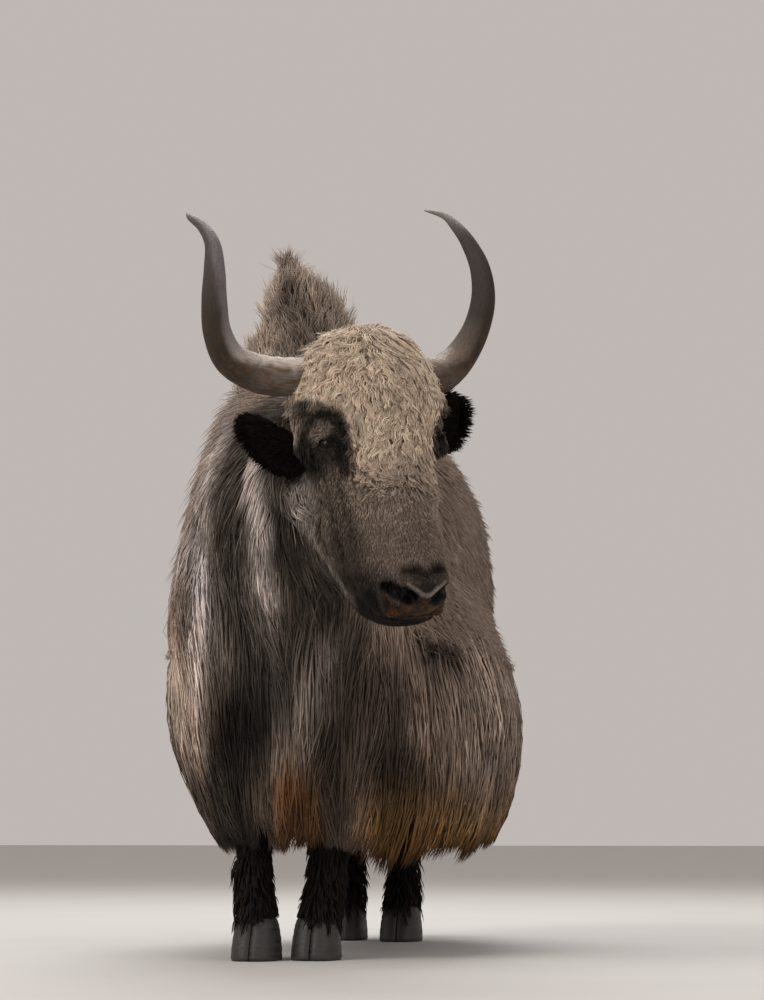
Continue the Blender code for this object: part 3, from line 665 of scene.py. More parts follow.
# Each mark says how much, its colour, how soft its edge is, and its shapes. A shape is two ends and
# a radius, or a centre and three radii, in metres.
TRUNK_MARKS = (
    # The hump's dark middle and its tuft.
    (0.75, (0.130, 0.100, 0.080), 0.5, ((-0.015, -0.455, 1.25), (-0.035, -0.43, 1.33), 0.055)),
    (0.60, (0.20, 0.155, 0.125), 0.6, ((-0.075, -0.36, 1.36), (-0.080, -0.35, 1.44), 0.040)),
    # The neck is dark in front and grey along its right edge; the nearly black mark under the jaw is
    # painted shade.
    (0.92, DARK, 0.25, ((-0.03, -0.64, 0.74), (0.19, 0.26, 0.38))),
    (0.80, GREY, 0.6, ((-0.165, -0.60, 0.99), (-0.235, -0.53, 0.78), 0.042)),
    (0.70, (0.060, 0.050, 0.043), 0.6, ((-0.097, -0.70, 0.90), (-0.085, -0.62, 0.64), 0.030)),
    (0.85, (0.072, 0.056, 0.045), 0.6, ((0.034, -0.74, 0.80), (0.033, -0.66, 0.62), 0.045)),
    (0.75, (0.52, 0.445, 0.405), 0.8,
     ((-0.170, -0.49, 1.08), (-0.150, -0.62, 0.96), 0.050),
     ((-0.160, -0.63, 0.92), (-0.185, -0.60, 0.80), 0.036)),
    # Painted shade under the jaw.
    (0.90, (0.012, 0.009, 0.007), 0.5, ((0.085, -0.650, 0.735), (0.112, -0.620, 0.655), 0.034)),
    # Pale streaks down the neck and chest.
    (0.90, (0.72, 0.61, 0.57), 0.8, ((-0.050, -0.762, 0.965), (-0.024, -0.750, 0.80), 0.026)),
    (0.90, (0.58, 0.50, 0.46), 0.8, ((-0.024, -0.750, 0.80), (-0.020, -0.690, 0.69), 0.023)),
    (0.90, (0.88, 0.80, 0.77), 0.8, ((-0.185, -0.585, 0.79), (-0.183, -0.585, 0.66), 0.024)),
    (0.90, (0.66, 0.56, 0.51), 0.8, ((-0.183, -0.585, 0.66), (-0.205, -0.530, 0.52), 0.025)),
    (0.90, (0.42, 0.34, 0.29), 0.8, ((-0.205, -0.530, 0.52), (-0.185, -0.520, 0.38), 0.018)),
    (0.90, GREY, 0.8, ((-0.235, -0.520, 0.80), (-0.270, -0.460, 0.66), 0.016)),
    (0.90, (0.30, 0.25, 0.22), 0.8, ((0.125, -0.580, 0.64), (0.040, -0.583, 0.53), 0.012)),
    (0.90, (0.30, 0.24, 0.20), 0.8, ((0.040, -0.583, 0.53), (0.006, -0.585, 0.43), 0.016)),
    (0.90, (0.52, 0.42, 0.34), 0.4, ((-0.285, -0.42, 0.53), (0.065, 0.13, 0.13))),
    # The chest between the legs, with its rusty tuft.
    (0.85, (0.036, 0.029, 0.024), 0.6, ((-0.05, -0.60, 0.56), (-0.10, -0.60, 0.42), 0.055)),
    (0.97, (0.0095, 0.0065, 0.0045), 0.6, ((-0.110, -0.56, 0.45), (-0.150, -0.50, 0.22), 0.078)),
    (0.80, (0.058, 0.046, 0.038), 0.6, ((0.120, -0.57, 0.62), (0.105, -0.55, 0.44), 0.042)),
    (0.92, (0.020, 0.014, 0.010), 0.6, ((0.080, -0.56, 0.43), (0.085, -0.53, 0.24), 0.034)),
    (0.85, (0.070, 0.053, 0.043), 0.4, ((0.150, -0.48, 0.42), (0.065, 0.12, 0.22))),
    (0.85, (0.026, 0.018, 0.013), 0.5, ((0.190, -0.42, 0.33), (0.060, 0.12, 0.09))),
    (0.85, (0.20, 0.15, 0.12), 0.4, ((0.002, -0.585, 0.385), (0.050, 0.08, 0.055))),
    (0.92, (0.105, 0.042, 0.009), 0.4, ((0.008, -0.57, 0.33), (0.016, -0.54, 0.20), 0.048)),
    # The left flank is pale in its middle and dark at its hem; the dark hollow behind the elbow is
    # painted shadow.
    (0.60, (0.315, 0.245, 0.20), 0.5, ((0.325, -0.12, 0.48), (0.06, 0.26, 0.15))),
    (0.60, (0.042, 0.024, 0.012), 0.5, ((0.165, -0.38, 0.235), (0.055, 0.14, 0.060))),
    # Painted shadow in the hollow behind the elbow.
    (0.92, (0.030, 0.022, 0.017), 0.7, ((0.225, -0.355, 0.600), (0.290, -0.235, 0.612), 0.032)),
)


def markings(p, with_legs=True):
    """The coat's colour at places on the skin, from the animal's own regions."""
    x, y, z = p.T
    streak = noise(p, (24, 24, 4), 3) * 0.6 + noise(p, (62, 62, 8), 4) * 0.4
    patchy = noise(p, 7, 5)
    waver = 0.012 * noise(p, (18, 18, 6), 6)
    tone = np.tile(TAN, (len(p), 1)).astype(float)
    # The back and rump are greyer, and the flanks darken downward.
    tone = over(tone, 0.40 * ramp(y, 0.0, 0.5), GREY_BROWN)
    tone = over(tone, 0.80 * ramp(z + 0.05 * patchy, 0.68, 0.50), (0.225, 0.165, 0.125))
    tone = over(tone, 0.50 * ramp(z + 0.05 * patchy, 0.46, 0.30), BROWN)
    # The hump is pale at its edges.
    tone = over(tone, ramp(z, 1.06, 1.16) * ramp(y, 0.05, -0.15), (0.45, 0.36, 0.287))
    tone = painted(tone, p + waver[:, None], TRUNK_MARKS)
    # The low right of the chest, nearly black at its hem.
    corner = ramp(x, -0.06, -0.12) * ramp(z + 0.04 * patchy, 0.44, 0.30)
    corner *= ramp(y, -0.25, -0.38) * ramp(x, -0.30, -0.24)
    tone = over(tone, 0.85 * corner, (0.036, 0.028, 0.022))
    # The rust fringe low on the chest and flanks.
    low = ramp(z + 0.04 * patchy, 0.40, 0.25)
    hem = ramp(z + 0.03 * patchy, 0.30, 0.21) * ramp(x, 0.08, 0.15)
    back = low * ramp(x, -0.15, -0.25) * ramp(y, -0.35, -0.20)
    tone = over(tone, 0.85 * low * ramp(x, 0.08, 0.17), RUST)
    tone = over(tone, 0.60 * hem, (0.098, 0.038, 0.007))
    tone = over(tone, 0.55 * back, RUST)
    # Legs and tail.
    if with_legs:
        tone = over(tone, ramp(z, 0.42, 0.34) * leg_share(p), LEG)
    tone = over(tone, 0.6 * ramp(y, 0.72, 0.76) * ramp(z, 0.8, 0.5), DARK)
    plush = ramp(x, 0.10, 0.20) * ramp(z, 0.60, 0.70)
    tone *= np.clip(1 + (0.58 - 0.42 * plush) * streak + 0.14 * patchy, 0.3, 2)[:, None]
    share = head_share(p)
    face = face_markings(to_head(p)) * share[:, None]
    return np.clip(over(tone, share, (0, 0, 0)) + face, 0.003, 0.85)


def leg_share(p):
    """1 close to a leg's own line, 0 on the hanging coat."""
    near = np.zeros(len(p))
    for name in FEET:
        foot = foot_middle(name)
        lean = 0.055 if name.startswith("hind") else 0.0
        away = np.hypot(p[:, 0] - foot[0], p[:, 1] - foot[1] - lean * ramp(p[:, 2], 0.1, 0.35))
        near = np.maximum(near, ramp(away, 0.135, 0.095))
    return near


# Marks round each eye, on the animal's left.
EYE_MARKS = (
    (0.80, (0.135, 0.105, 0.084), 0.5, ((0.128, 0.232, -0.052), (0.026, 0.014, 0.026))),
    (0.95, (0.008, 0.006, 0.005), 0.45, ((0.130, 0.194, -0.052), (0.118, 0.197, -0.010), 0.0105)),
    (0.90, (0.016, 0.012, 0.009), 0.5, ((0.150, 0.205, -0.090), (0.030, 0.046, 0.026))),
    (0.85, (0.016, 0.012, 0.010), 0.6, ((0.101, 0.214, -0.008), (0.097, 0.252, -0.034), 0.015)),
)


def face_markings(q):
    """The colour at places in the head's axes."""
    near = folded(q)
    x, down, out = near.T
    streak = noise(q, (85, 9, 60), 8) * 0.6 + noise(q, (170, 20, 120), 12) * 0.4
    tone = np.tile((0.180, 0.143, 0.110), (len(q), 1)).astype(float)
    # Darker under the eye and beside the mouth.
    low = ramp(down, 0.20, 0.25) * ramp(down, 0.34, 0.28)
    tone = over(tone, 0.35 * low * ramp(out, -0.10, -0.06), (0.080, 0.062, 0.050))
    beside = blob(near, (0.088, 0.410, -0.115), (0.05, 0.075, 0.055), 0.5)
    tone = over(tone, 0.85 * beside, (0.066, 0.049, 0.039))
    tone *= (1 + 0.80 * streak)[:, None]
    # The nose's bridge, down to the muzzle.
    edge = out + 0.004 * noise(q, 40, 13)
    bridge = ramp(edge, -0.066, -0.036) * ramp(down, 0.22, 0.30)
    plush = np.array((0.270, 0.208, 0.168)) * (1 + 0.22 * noise(q, (60, 40, 60), 14))[:, None]
    tone = tone * (1 - bridge[:, None]) + plush * bridge[:, None]
    fading = ramp(down + 0.015 * noise(q, 45, 16), 0.41, 0.30)
    tone = over(tone, 0.65 * bridge * fading, (0.50, 0.40, 0.31))
    # The pale fringe along the jaw's edge.
    inward = out - jaw_line(down)
    jaw = ramp(inward, 0.030, 0.014) * ramp(down, 0.12, 0.20)
    tone = over(tone, 0.85 * jaw * (0.75 + 0.45 * streak), (0.50, 0.44, 0.40))
    curls = curl_share(q)
    cream = np.array(CREAM) * (1 + 0.08 * noise(q, 30, 9) + 0.10 * noise(q, 9, 10))[:, None]
    solid = curls * ramp(down + 0.02 * noise(q, 45, 16), 0.350, 0.215)
    tone = tone * (1 - solid[:, None]) + cream * solid[:, None]
    temple = ramp(out, -0.052, -0.072) * ramp(down, 0.19, 0.15)
    tone = over(tone, 0.80 * temple * (1 + 0.5 * streak), (0.40, 0.325, 0.265))
    for side in (1, -1):
        around = eye_distance(q, side)
        tone = over(tone, 0.92 * ramp(around, 1.18, 0.92), (0.027, 0.021, 0.017))
        upper = blob(q, (side * 0.128, 0.168, -0.030), (0.030, 0.019, 0.030), 0.35)
        tone = over(tone, 0.85 * upper * (0.9 + 0.3 * streak), (0.325, 0.258, 0.205))
        tone = painted(tone, q * (side, 1, 1), EYE_MARKS)
        # Dark hair and painted shade in the crease under the brow, above each eye.
        crease = np.exp(-(((around - 0.92) / 0.13) ** 2)) * ramp(down, 0.215, 0.18)
        tone = over(tone, 0.88 * crease, (0.012, 0.009, 0.007))
    # The muzzle, dark round the pad.
    muzzle = ramp(down + 0.55 * (x - 0.03) - 0.5 * np.minimum(out, 0), 0.484, 0.520)
    tone = over(tone, 0.88 * muzzle * (0.9 + 0.25 * streak), (0.034, 0.026, 0.021))
    # Painted shade under the chin.
    chin = ramp(out, -0.066, -0.080) * ramp(down + 0.010 * noise(q, 60, 19), 0.455, 0.480)
    tone = over(tone, 0.93 * chin, (0.0085, 0.0058, 0.0042))
    for start, end in zip(PAD_TOP, PAD_TOP[1:]):
        tone = over(tone, 0.88 * capsule(near, start, end, 0.0125, 0.9), (0.014, 0.010, 0.008))
    pad = blob(near, (0.0, 0.500, 0.006), (0.036, 0.015, 0.03), 0.35)
    tone = over(tone, 0.80 * pad * (0.85 + 0.35 * noise(q, 120, 17)), (0.050, 0.041, 0.036))
    lip = blob(near, (0.034, 0.532, -0.056), (0.050, 0.040, 0.015), 0.4)
    # Painted shade inside the nostrils.
    for start, end in zip(NOSTRIL, NOSTRIL[1:]):
        tone = over(tone, 0.92 * capsule(near, start, end, 0.0150, 0.4), (0.006, 0.0045, 0.0035))
    # A pale fringe under the jaw, up to the mouth's corner.
    fringe = capsule(near, (0.086, 0.360, -0.200), (0.078, 0.425, -0.176), 0.013, 0.6)
    tip = capsule(near, (0.078, 0.425, -0.176), (0.073, 0.455, -0.152), 0.010, 0.9)
    fringe = np.maximum(fringe, 0.6 * tip)
    tone = over(tone, 0.75 * fringe * (0.8 + 0.4 * streak), (0.30, 0.255, 0.225))
    patches = ramp(noise(q, 70, 15) + 0.5 * noise(q, 150, 18), -0.35, 0.45)
    tone = over(tone, 0.90 * lip, (0.018, 0.012, 0.008))
    tone = over(tone, 0.85 * lip * patches, (0.115, 0.052, 0.017))
    return np.clip(tone, 0.004, 0.9)


# Materials.


class Nodes:
    """A short way to build a material's nodes."""

    def __init__(self, name):
        self.material = bpy.data.materials.new(name)
        self.material.use_nodes = True
        self.tree = self.material.node_tree
        self.shader = self.tree.nodes["Principled BSDF"]
        self.place = self.add("TexCoord").outputs["Object"]

    def add(self, kind, **settings):
        node = self.tree.nodes.new("ShaderNode" + kind)
        for key, value in settings.items():
            setattr(node, key, value)
        return node

    def link(self, start, end):
        self.tree.links.new(start, end)

    def fill(self, socket, value):
        """Links another socket to this one, or sets a number or a colour."""
        if hasattr(value, "is_linked"):
            self.link(value, socket)
        else:
            socket.default_value = (*value, 1) if isinstance(value, tuple) else value

    def set(self, **values):
        """Fills the shader's sockets."""
        for key, value in values.items():
            self.fill(self.shader.inputs[key.replace("_", " ")], value)

    def attribute(self, name, output="Fac"):
        return self.add("Attribute", attribute_name=name).outputs[output]

    def noise(self, scale, detail=3.0, stretch=None, place=None):
        made = self.add("TexNoise")
        made.inputs["Scale"].default_value = scale
        made.inputs["Detail"].default_value = detail
        place = place or self.place
        if stretch:
            mapping = self.add("Mapping")
            mapping.inputs["Scale"].default_value = stretch
            self.link(place, mapping.inputs["Vector"])
            place = mapping.outputs["Vector"]
        self.link(place, made.inputs["Vector"])
        return made.outputs["Fac"]

    def spread(self, value, low, high, start=0.3, end=0.7):
        made = self.add("MapRange")
        self.link(value, made.inputs["Value"])
        made.inputs["From Min"].default_value = start
        made.inputs["From Max"].default_value = end
        made.inputs["To Min"].default_value = low
        made.inputs["To Max"].default_value = high
        return made.outputs["Result"]

    def mix(self, share, a, b, kind="MIX"):
        made = self.add("Mix", data_type="RGBA", blend_type=kind)
        for socket, value in ((0, share), (6, a), (7, b)):
            self.fill(made.inputs[socket], value)
        return made.outputs[2]

    def math(self, kind, a, b):
        made = self.add("Math", operation=kind)
        for socket, value in ((0, a), (1, b)):
            self.fill(made.inputs[socket], value)
        return made.outputs["Value"]

    def grey(self, value):
        made = self.add("CombineColor")
        for socket in made.inputs[:3]:
            self.link(value, socket)
        return made.outputs["Color"]

    def bump(self, height, strength, distance, after=None):
        made = self.add("Bump")
        made.inputs["Strength"].default_value = strength
        made.inputs["Distance"].default_value = distance
        self.link(height, made.inputs["Height"])
        if after:
            self.link(after, made.inputs["Normal"])
        return made.outputs["Normal"]


def hair_material(name, rough=(0.48, 0.68), contrast=0.30, stretch=(1.0, 1.0, 0.10), gloss=0.18,
                  sheen=0.03):
    m = Nodes(name)
    strands = m.noise(520, 3.0, stretch)
    shade = m.spread(strands, 1 - contrast, 1 + contrast)
    m.set(Base_Color=m.mix(1.0, m.attribute("tint", "Color"), m.grey(shade), "MULTIPLY"),
          Roughness=m.spread(m.noise(90, 2.0), *rough), Normal=m.bump(strands, 0.35, 0.0008),
          Specular_IOR_Level=gloss, Sheen_Weight=sheen, Sheen_Roughness=0.5)
    return m.material


def skin_material():
    m = Nodes("short_hair_and_skin")
    bare = m.attribute("bare")
    hair = m.noise(150, 5.0, (1.0, 1.0, 0.22))
    shade = m.spread(hair, 0.62, 1.25)
    coated = m.mix(1.0, m.attribute("tint", "Color"), m.grey(shade), "MULTIPLY")
    pebble = m.add("TexVoronoi", feature="F1")
    pebble.inputs["Scale"].default_value = 260
    m.link(m.place, pebble.inputs["Vector"])
    spots = m.spread(pebble.outputs["Distance"], 1.15, 0.75, 0.1, 0.7)
    bared = m.mix(1.0, m.attribute("tint", "Color"), m.grey(spots), "MULTIPLY")
    wet = m.spread(m.noise(60, 3.0), 0.42, 0.60)
    dry = m.spread(m.noise(200, 3.0), 0.60, 0.80)
    rough = m.add("Mix", data_type="FLOAT")
    m.link(bare, rough.inputs[0])
    m.link(dry, rough.inputs[2])
    m.link(wet, rough.inputs[3])
    first = m.bump(hair, 0.6, 0.0020)
    m.set(Base_Color=m.mix(bare, coated, bared), Roughness=rough.outputs[0],
          Normal=m.bump(pebble.outputs["Distance"], 0.25, 0.0010, first),
          Specular_IOR_Level=0.09)
    return m.material


def horn_material(name, base, middle):
    m = Nodes(name)
    along = m.attribute("along")
    place = m.add("Attribute", attribute_name="horn_place").outputs["Vector"]
    streak = m.noise(9.0, 5.0, (3.2, 3.2, 0.35), place)
    cloud = m.noise(3.0, 3.0, (1.0, 1.0, 0.8), place)
    base = m.mix(m.spread(along, 0, 1, 0.16, 0.46), base, middle)
    base = m.mix(m.spread(along, 0, 1, 0.72, 1.0), base, (0.26, 0.23, 0.21))
    outer = m.attribute("outer")
    brown = m.mix(m.math("MULTIPLY", outer, m.spread(along, 0.80, 0.50, 0.5, 0.9)), base,
                  (0.026, 0.018, 0.012))
    low = m.math("MULTIPLY", m.spread(along, 1.0, 0.25, 0.28, 0.45),
                 m.spread(cloud, 0.0, 0.85, 0.44, 0.62))
    bend = m.math("MULTIPLY", m.spread(along, 0.0, 0.90, 0.10, 0.24),
                  m.spread(along, 1.0, 0.20, 0.34, 0.52))
    bend = m.math("MULTIPLY", bend, m.spread(outer, 0.0, 1.0, 0.45, 0.95))
    brown = m.mix(bend, brown, (0.024, 0.015, 0.009))
    rusty = m.mix(m.math("MULTIPLY", outer, low), brown, (0.085, 0.040, 0.014))
    dark = m.mix(m.spread(streak, 0.0, 0.55, 0.46, 0.68), rusty, (0.022, 0.016, 0.013))
    grain = m.grey(m.spread(m.noise(260, 3.0), 0.85, 1.15))
    first = m.bump(streak, 0.55, 0.0020)
    m.set(Base_Color=m.mix(1.0, dark, grain, "MULTIPLY"), Roughness=m.spread(streak, 0.48, 0.70),
          Normal=m.bump(m.noise(500, 2.0), 0.12, 0.0005, first), Specular_IOR_Level=0.22)
    return m.material


def hoof_material():
    m = Nodes("hoof_keratin")
    ring = m.noise(120, 3.0, (0.25, 0.25, 1.6))
    m.set(Base_Color=m.mix(m.spread(ring, 0, 1), (0.012, 0.010, 0.009), (0.042, 0.034, 0.029)),
          Roughness=m.spread(ring, 0.45, 0.70), Normal=m.bump(ring, 0.5, 0.0015))
    return m.material


def eye_material():
    m = Nodes("eyeball")
    fleck = m.spread(m.noise(700, 3.0), 0, 0.5)
    m.set(Base_Color=m.mix(fleck, m.attribute("tint", "Color"), (0.005, 0.0035, 0.0028)),
          Roughness=m.spread(m.noise(300, 2.0), 0.14, 0.22), Specular_IOR_Level=0.14)
    return m.material


# The coat: locks are closed spindles, each with a few three-sided rings.


def lock_mesh(name, lines, ups, widths, tints, places, finish, flat=0.55):
    """Joins locks from their centre lines.

    Each line is a root, its rings' centres and a tip. ups point out of the body, widths are
    half widths at the rings, tints are colours along the line, and places are where the roots
    lie on the unwrap.
    """
    count, rows = lines.shape[:2]
    rings = rows - 2
    along = unit(lines[:, 2:] - lines[:, :-2])
    across = unit(np.cross(ups[:, None, :], along))
    raised = np.cross(along, across)
    angles = np.radians([210, 330, 90])
    centres = lines[:, 1:-1]
    ring = (
        centres[:, :, None]
        + across[:, :, None] * (widths[:, :, None] * np.cos(angles))[..., None]
        + raised[:, :, None] * (widths[:, :, None] * flat * np.sin(angles))[..., None]
    )
    size = rings * 3 + 2
    points = np.concatenate([lines[:, :1], ring.reshape(count, -1, 3), lines[:, -1:]], 1)
    faces = []
    for j in range(3):
        n = (j + 1) % 3
        faces.append((0, 1 + n, 1 + j))
        for r in range(rings - 1):
            a, b = 1 + 3 * r, 4 + 3 * r
            faces += [(a + j, a + n, b + n), (a + j, b + n, b + j)]
        last = 1 + 3 * (rings - 1)
        faces.append((last + j, last + n, size - 1))
    faces = np.array(faces)
    triangles = (faces[None] + (np.arange(count) * size)[:, None, None]).reshape(-1, 3)
    spread = np.concatenate([tints[:, :1], np.repeat(tints[:, 1:-1], 3, 1), tints[:, -1:]], 1)
    data = mesh_from(name, points.reshape(-1, 3), triangles, spread.reshape(-1, 3))
    level = np.concatenate([[0], np.repeat(np.arange(1, rings + 1), 3), [rings + 1]])
    aside = np.concatenate([[0], np.tile([-1.0, 1.0, 0.0], rings), [0]])
    patch = np.stack([aside * PATCH_HALF, (level / (rings + 1) - 0.5) * PATCH_LENGTH], 1)
    uv = (places[:, None] + patch[None]).reshape(-1, 2)
    layer = data.uv_layers.new(name="OFBake")
    layer.data.foreach_set("uv", uv[triangles.ravel()].astype(np.float32).ravel())
    made = add_object(name, data, finish)
    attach(made, "root")
    return made


class Surface:
    """The skin as arrays, to draw roots from and to lay hair on."""

    def __init__(self, data):
        data.calc_loop_triangles()
        tris = np.empty(len(data.loop_triangles) * 3, np.int32)
        data.loop_triangles.foreach_get("vertices", tris)
        self.tris = tris.reshape(-1, 3)
        self.points = points_of(data)
        self.normals = normals_of(data)
        corners = self.points[self.tris]
        self.centres = corners.mean(1)
        self.areas = 0.5 * np.linalg.norm(
            np.cross(corners[:, 1] - corners[:, 0], corners[:, 2] - corners[:, 0]), axis=1
        )
        self.face_normals = unit(self.normals[self.tris].sum(1))
        self.tree = BVHTree.FromPolygons(self.points.tolist(), self.tris.tolist())
        self.order = np.argsort(self.curve(self.centres))

    @staticmethod
    def curve(p):
        """Places along a curve that fills space, so that neighbours stay close."""
        cells = ((p - p.min(0)) / 0.01).astype(np.int64)
        key = np.zeros(len(p), np.int64)
        for bit in range(8):
            for axis in range(3):
                key |= ((cells[:, axis] >> bit) & 1) << (3 * bit + axis)
        return key

    def scatter(self, density, count, draw):
        """Root places and normals: count of them, spread as the density over the faces says."""
        weight = (self.areas * density)[self.order]
        total = np.cumsum(weight)
        wanted = (np.arange(count) + draw.random(count)) / count * total[-1]
        face = self.order[np.minimum(np.searchsorted(total, wanted), len(self.order) - 1)]
        a, b = draw.random((2, count))
        flip = a + b > 1
        a[flip], b[flip] = 1 - a[flip], 1 - b[flip]
        share = np.stack([1 - a - b, a, b], 1)[..., None]
        corner = self.tris[face]
        return (self.points[corner] * share).sum(1), unit((self.normals[corner] * share).sum(1))

    def lay(self, p, height):
        """The places at a height above the skin nearest to each point, and the normals there."""
        found = [self.tree.find_nearest(spot) for spot in p.tolist()]
        base = np.array([tuple(f[0]) for f in found])
        face = np.array([f[2] for f in found])
        normal = self.face_normals[face]
        return base + normal * height[:, None], normal


def unwrap(p, centre, axis, ahead, reach):
    """Round an axis and along it, fitted to the unit square."""
    axis, ahead = unit(np.array(axis, float)), unit(np.array(ahead, float))
    third = np.cross(axis, ahead)
    rel = p - np.array(centre)
    turn = np.arctan2(rel @ third, rel @ ahead) / np.pi
    along = rel @ axis / reach
    return np.clip(np.stack([turn, along], 1) * 0.49 + 0.5, 0.004, 0.996)


def nearest(spots, chosen):
    """For each spot, the number of the chosen spot nearest to it."""
    tree = KDTree(len(chosen))
    for k, spot in enumerate(spots[chosen].tolist()):
        tree.insert(spot, k)
    tree.balance()
    return chosen[np.array([tree.find(spot)[1] for spot in spots.tolist()])]


def paths(long, flow, aside, phase, bend, meander, wave_length, steps):
    """How far each lock has gone from its root at each step, as it winds over the skin."""
    fine = np.linspace(0, 1, 41)
    middles = (fine[:-1] + fine[1:]) / 2
    angle = meander * np.sin(2 * np.pi * middles * long[:, None] / wave_length + phase[:, None])
    angle = angle + bend[:, None] * middles
    found = np.empty((len(long), len(steps), 3))
    ahead = np.concatenate([np.zeros((len(long), 1)), np.cumsum(np.cos(angle), 1) / 40], 1)
    sideways = np.concatenate([np.zeros((len(long), 1)), np.cumsum(np.sin(angle), 1) / 40], 1)
    for k, s in enumerate(steps):
        at = min(int(s * 40), 39)
        t = s * 40 - at
        go = (ahead[:, at] * (1 - t) + ahead[:, at + 1] * t) * long
        side = (sideways[:, at] * (1 - t) + sideways[:, at + 1] * t) * long
        found[:, k] = flow * go[:, None] + aside * side[:, None]
    return found


def coat(name, skin, density, count, lie, length, depth, width, finish, draw, rings=1,
         clump=0.018, gather=0.45, meander=0.0, wave_length=0.05, curl=0.0, dark_root=0.55,
         tip=1.12, chart=None, stray=0.06, tone=None, spread=0.16, hug=None,
         varied=(0.16, 0.13), pale=0.0, swing=0.0, flat=0.55, early=1.3, unlike=1.0):
    """Hair over part of the skin. lie, length, depth and width are functions of places."""
    root, normal = skin.scatter(density, count, draw)
    flow = lie(root, normal)
    flow = unit(flow - normal * dot(flow, normal))
    flow = unit(flow + np.cross(normal, flow) * draw.normal(0, spread, (count, 1)))
    aside = np.cross(normal, flow)
    long = length(root) * (1 + 0.25 * unlike * draw.uniform(-1, 1, count))
    deep = depth(root)
    wide = width(root) * draw.uniform(0.75, 1.25, count)
    # Neighbours gather to shared tips.
    leaders = max(8, int(count * clump_share(count, skin, density, clump)))
    chosen = draw.choice(count, leaders, replace=False)
    leader = nearest(root, chosen)
    steps = np.array([0.0, *((np.arange(rings) + 0.75) / (rings + 0.55)), 1.0])
    lines = np.empty((count, rings + 2, 3))
    phase = draw.uniform(0, 2 * np.pi, count)[leader] + draw.normal(0, 0.30 * unlike, count)
    bend = draw.normal(0, curl, count)[leader] + draw.normal(0, curl * 0.3, count)
    own = paths(long, flow, aside, phase, bend, meander, wave_length, steps)
    lifted = draw.uniform(0.70, 1.08, count)
    lifted = deep * (lifted * unlike + lifted[leader] * (1 - unlike))
    lifted += (draw.random(count) < stray) * deep * 0.5
    outer = np.empty((count, rings + 2, 3))
    hold = np.ones(count) if hug is None else hug(root)
    for k, s in enumerate(steps):
        share = gather * s**early
        spot = (root + own[:, k]) * (1 - share) + (root[leader] + own[leader, k]) * share
        if k == 0:
            lines[:, k] = spot - normal * ROOT_DEPTH
            outer[:, k] = root + normal * deep[:, None]
            continue
        height = lifted * s**0.75
        height = height * (1 + swing * np.cos(2 * np.pi * s * long / wave_length + phase))
        free = spot + normal * height[:, None]
        laid, facing = skin.lay(spot, height)
        outer[:, k] = laid + facing * (deep - height)[:, None]
        lines[:, k] = free * (1 - hold[:, None]) + laid * hold[:, None]
    thick = np.array([np.sin(np.pi * (0.28 + 0.50 * s)) for s in steps[1:-1]])
    widths = wide[:, None] * thick[None]
    # The coat takes the colour of the place its outside shows at.
    if tone is None and rings > 1:
        colour = markings(outer.reshape(-1, 3)).reshape(count, rings + 2, 3)
    else:
        colour = (markings(outer[:, 1]) if tone is None else tone(root))[:, None]
    group = np.zeros(count)
    group[chosen] = draw.normal(0, varied[0], len(chosen))
    bright = np.exp(np.clip(group[leader] + draw.normal(0, varied[1], count), -0.9, 0.35))
    light = (draw.random(count) < pale)[:, None, None] * 0.5
    colour = colour * (1 - light) + np.array((0.36, 0.32, 0.29)) * light
    # Painted shade and light: each lock darkens toward its root, where the coat shades it, and
    # lightens toward its tip.
    shade = dark_root + (tip - dark_root) * steps**0.8
    tints = np.minimum(colour * shade[None, :, None] * bright[:, None, None], 0.9)
    return lock_mesh(name, lines, normal, widths, tints, chart(root), finish, flat)


def clump_share(count, skin, density, clump):
    """The share of roots that lead a clump, so that leaders are about a clump's size apart."""
    area = (skin.areas * (density > 0)).sum()
    return min(0.5, area / clump**2 / count)


# The hanging coat: long locks that follow the CAD's outline down from the flanks.


def skirt_outline(height):
    heights = [0.16, 0.22, 0.30, 0.40, 0.50, 0.60, 0.70, 0.80]
    left = np.interp(height, heights, [0.272, 0.314, 0.352, 0.380, 0.384, 0.366, 0.330, 0.270])
    right = np.interp(height, heights, [0.180, 0.220, 0.276, 0.332, 0.358, 0.352, 0.316, 0.262])
    front = np.interp(height, heights, [0.610, 0.632, 0.655, 0.675, 0.685, 0.690, 0.690, 0.680])
    rear = np.interp(height, heights, [0.545, 0.570, 0.595, 0.615, 0.622, 0.620, 0.600, 0.570])
    return left, right, front, rear


def skirt_bottom(turn):
    ahead, behind = np.maximum(0, -np.sin(turn)), np.maximum(0, np.sin(turn))
    ripple = 0.010 * np.sin(11 * turn) + 0.007 * np.sin(19 * turn + 1)
    elbow = 0.048 * np.exp(-(((turn + 0.75) / 0.35) ** 2))
    brisket = 0.050 * np.exp(-(((turn + 1.555) / 0.085) ** 2))
    return 0.212 + 0.030 * ahead**4 + 0.095 * behind**3 + ripple - elbow - brisket


def skirt_curve(turn, height):
    """Places on the hanging coat's outline: a turn of 0 is the animal's left, 90 its rear."""
    left, right, front, rear = skirt_outline(height)
    power = np.where(np.sin(turn) > 0, 2 / 2.30, 2 / 1.95)
    across = np.sign(np.cos(turn)) * np.abs(np.cos(turn)) ** power
    along = np.sign(np.sin(turn)) * np.abs(np.sin(turn)) ** power
    reach = np.where(along > 0, rear, front)
    half = np.where(across > 0, left, right)
    return np.stack([half * across, 0.03 + reach * along, height + 0 * turn], -1) + SHIFT * (1, 1, 0)


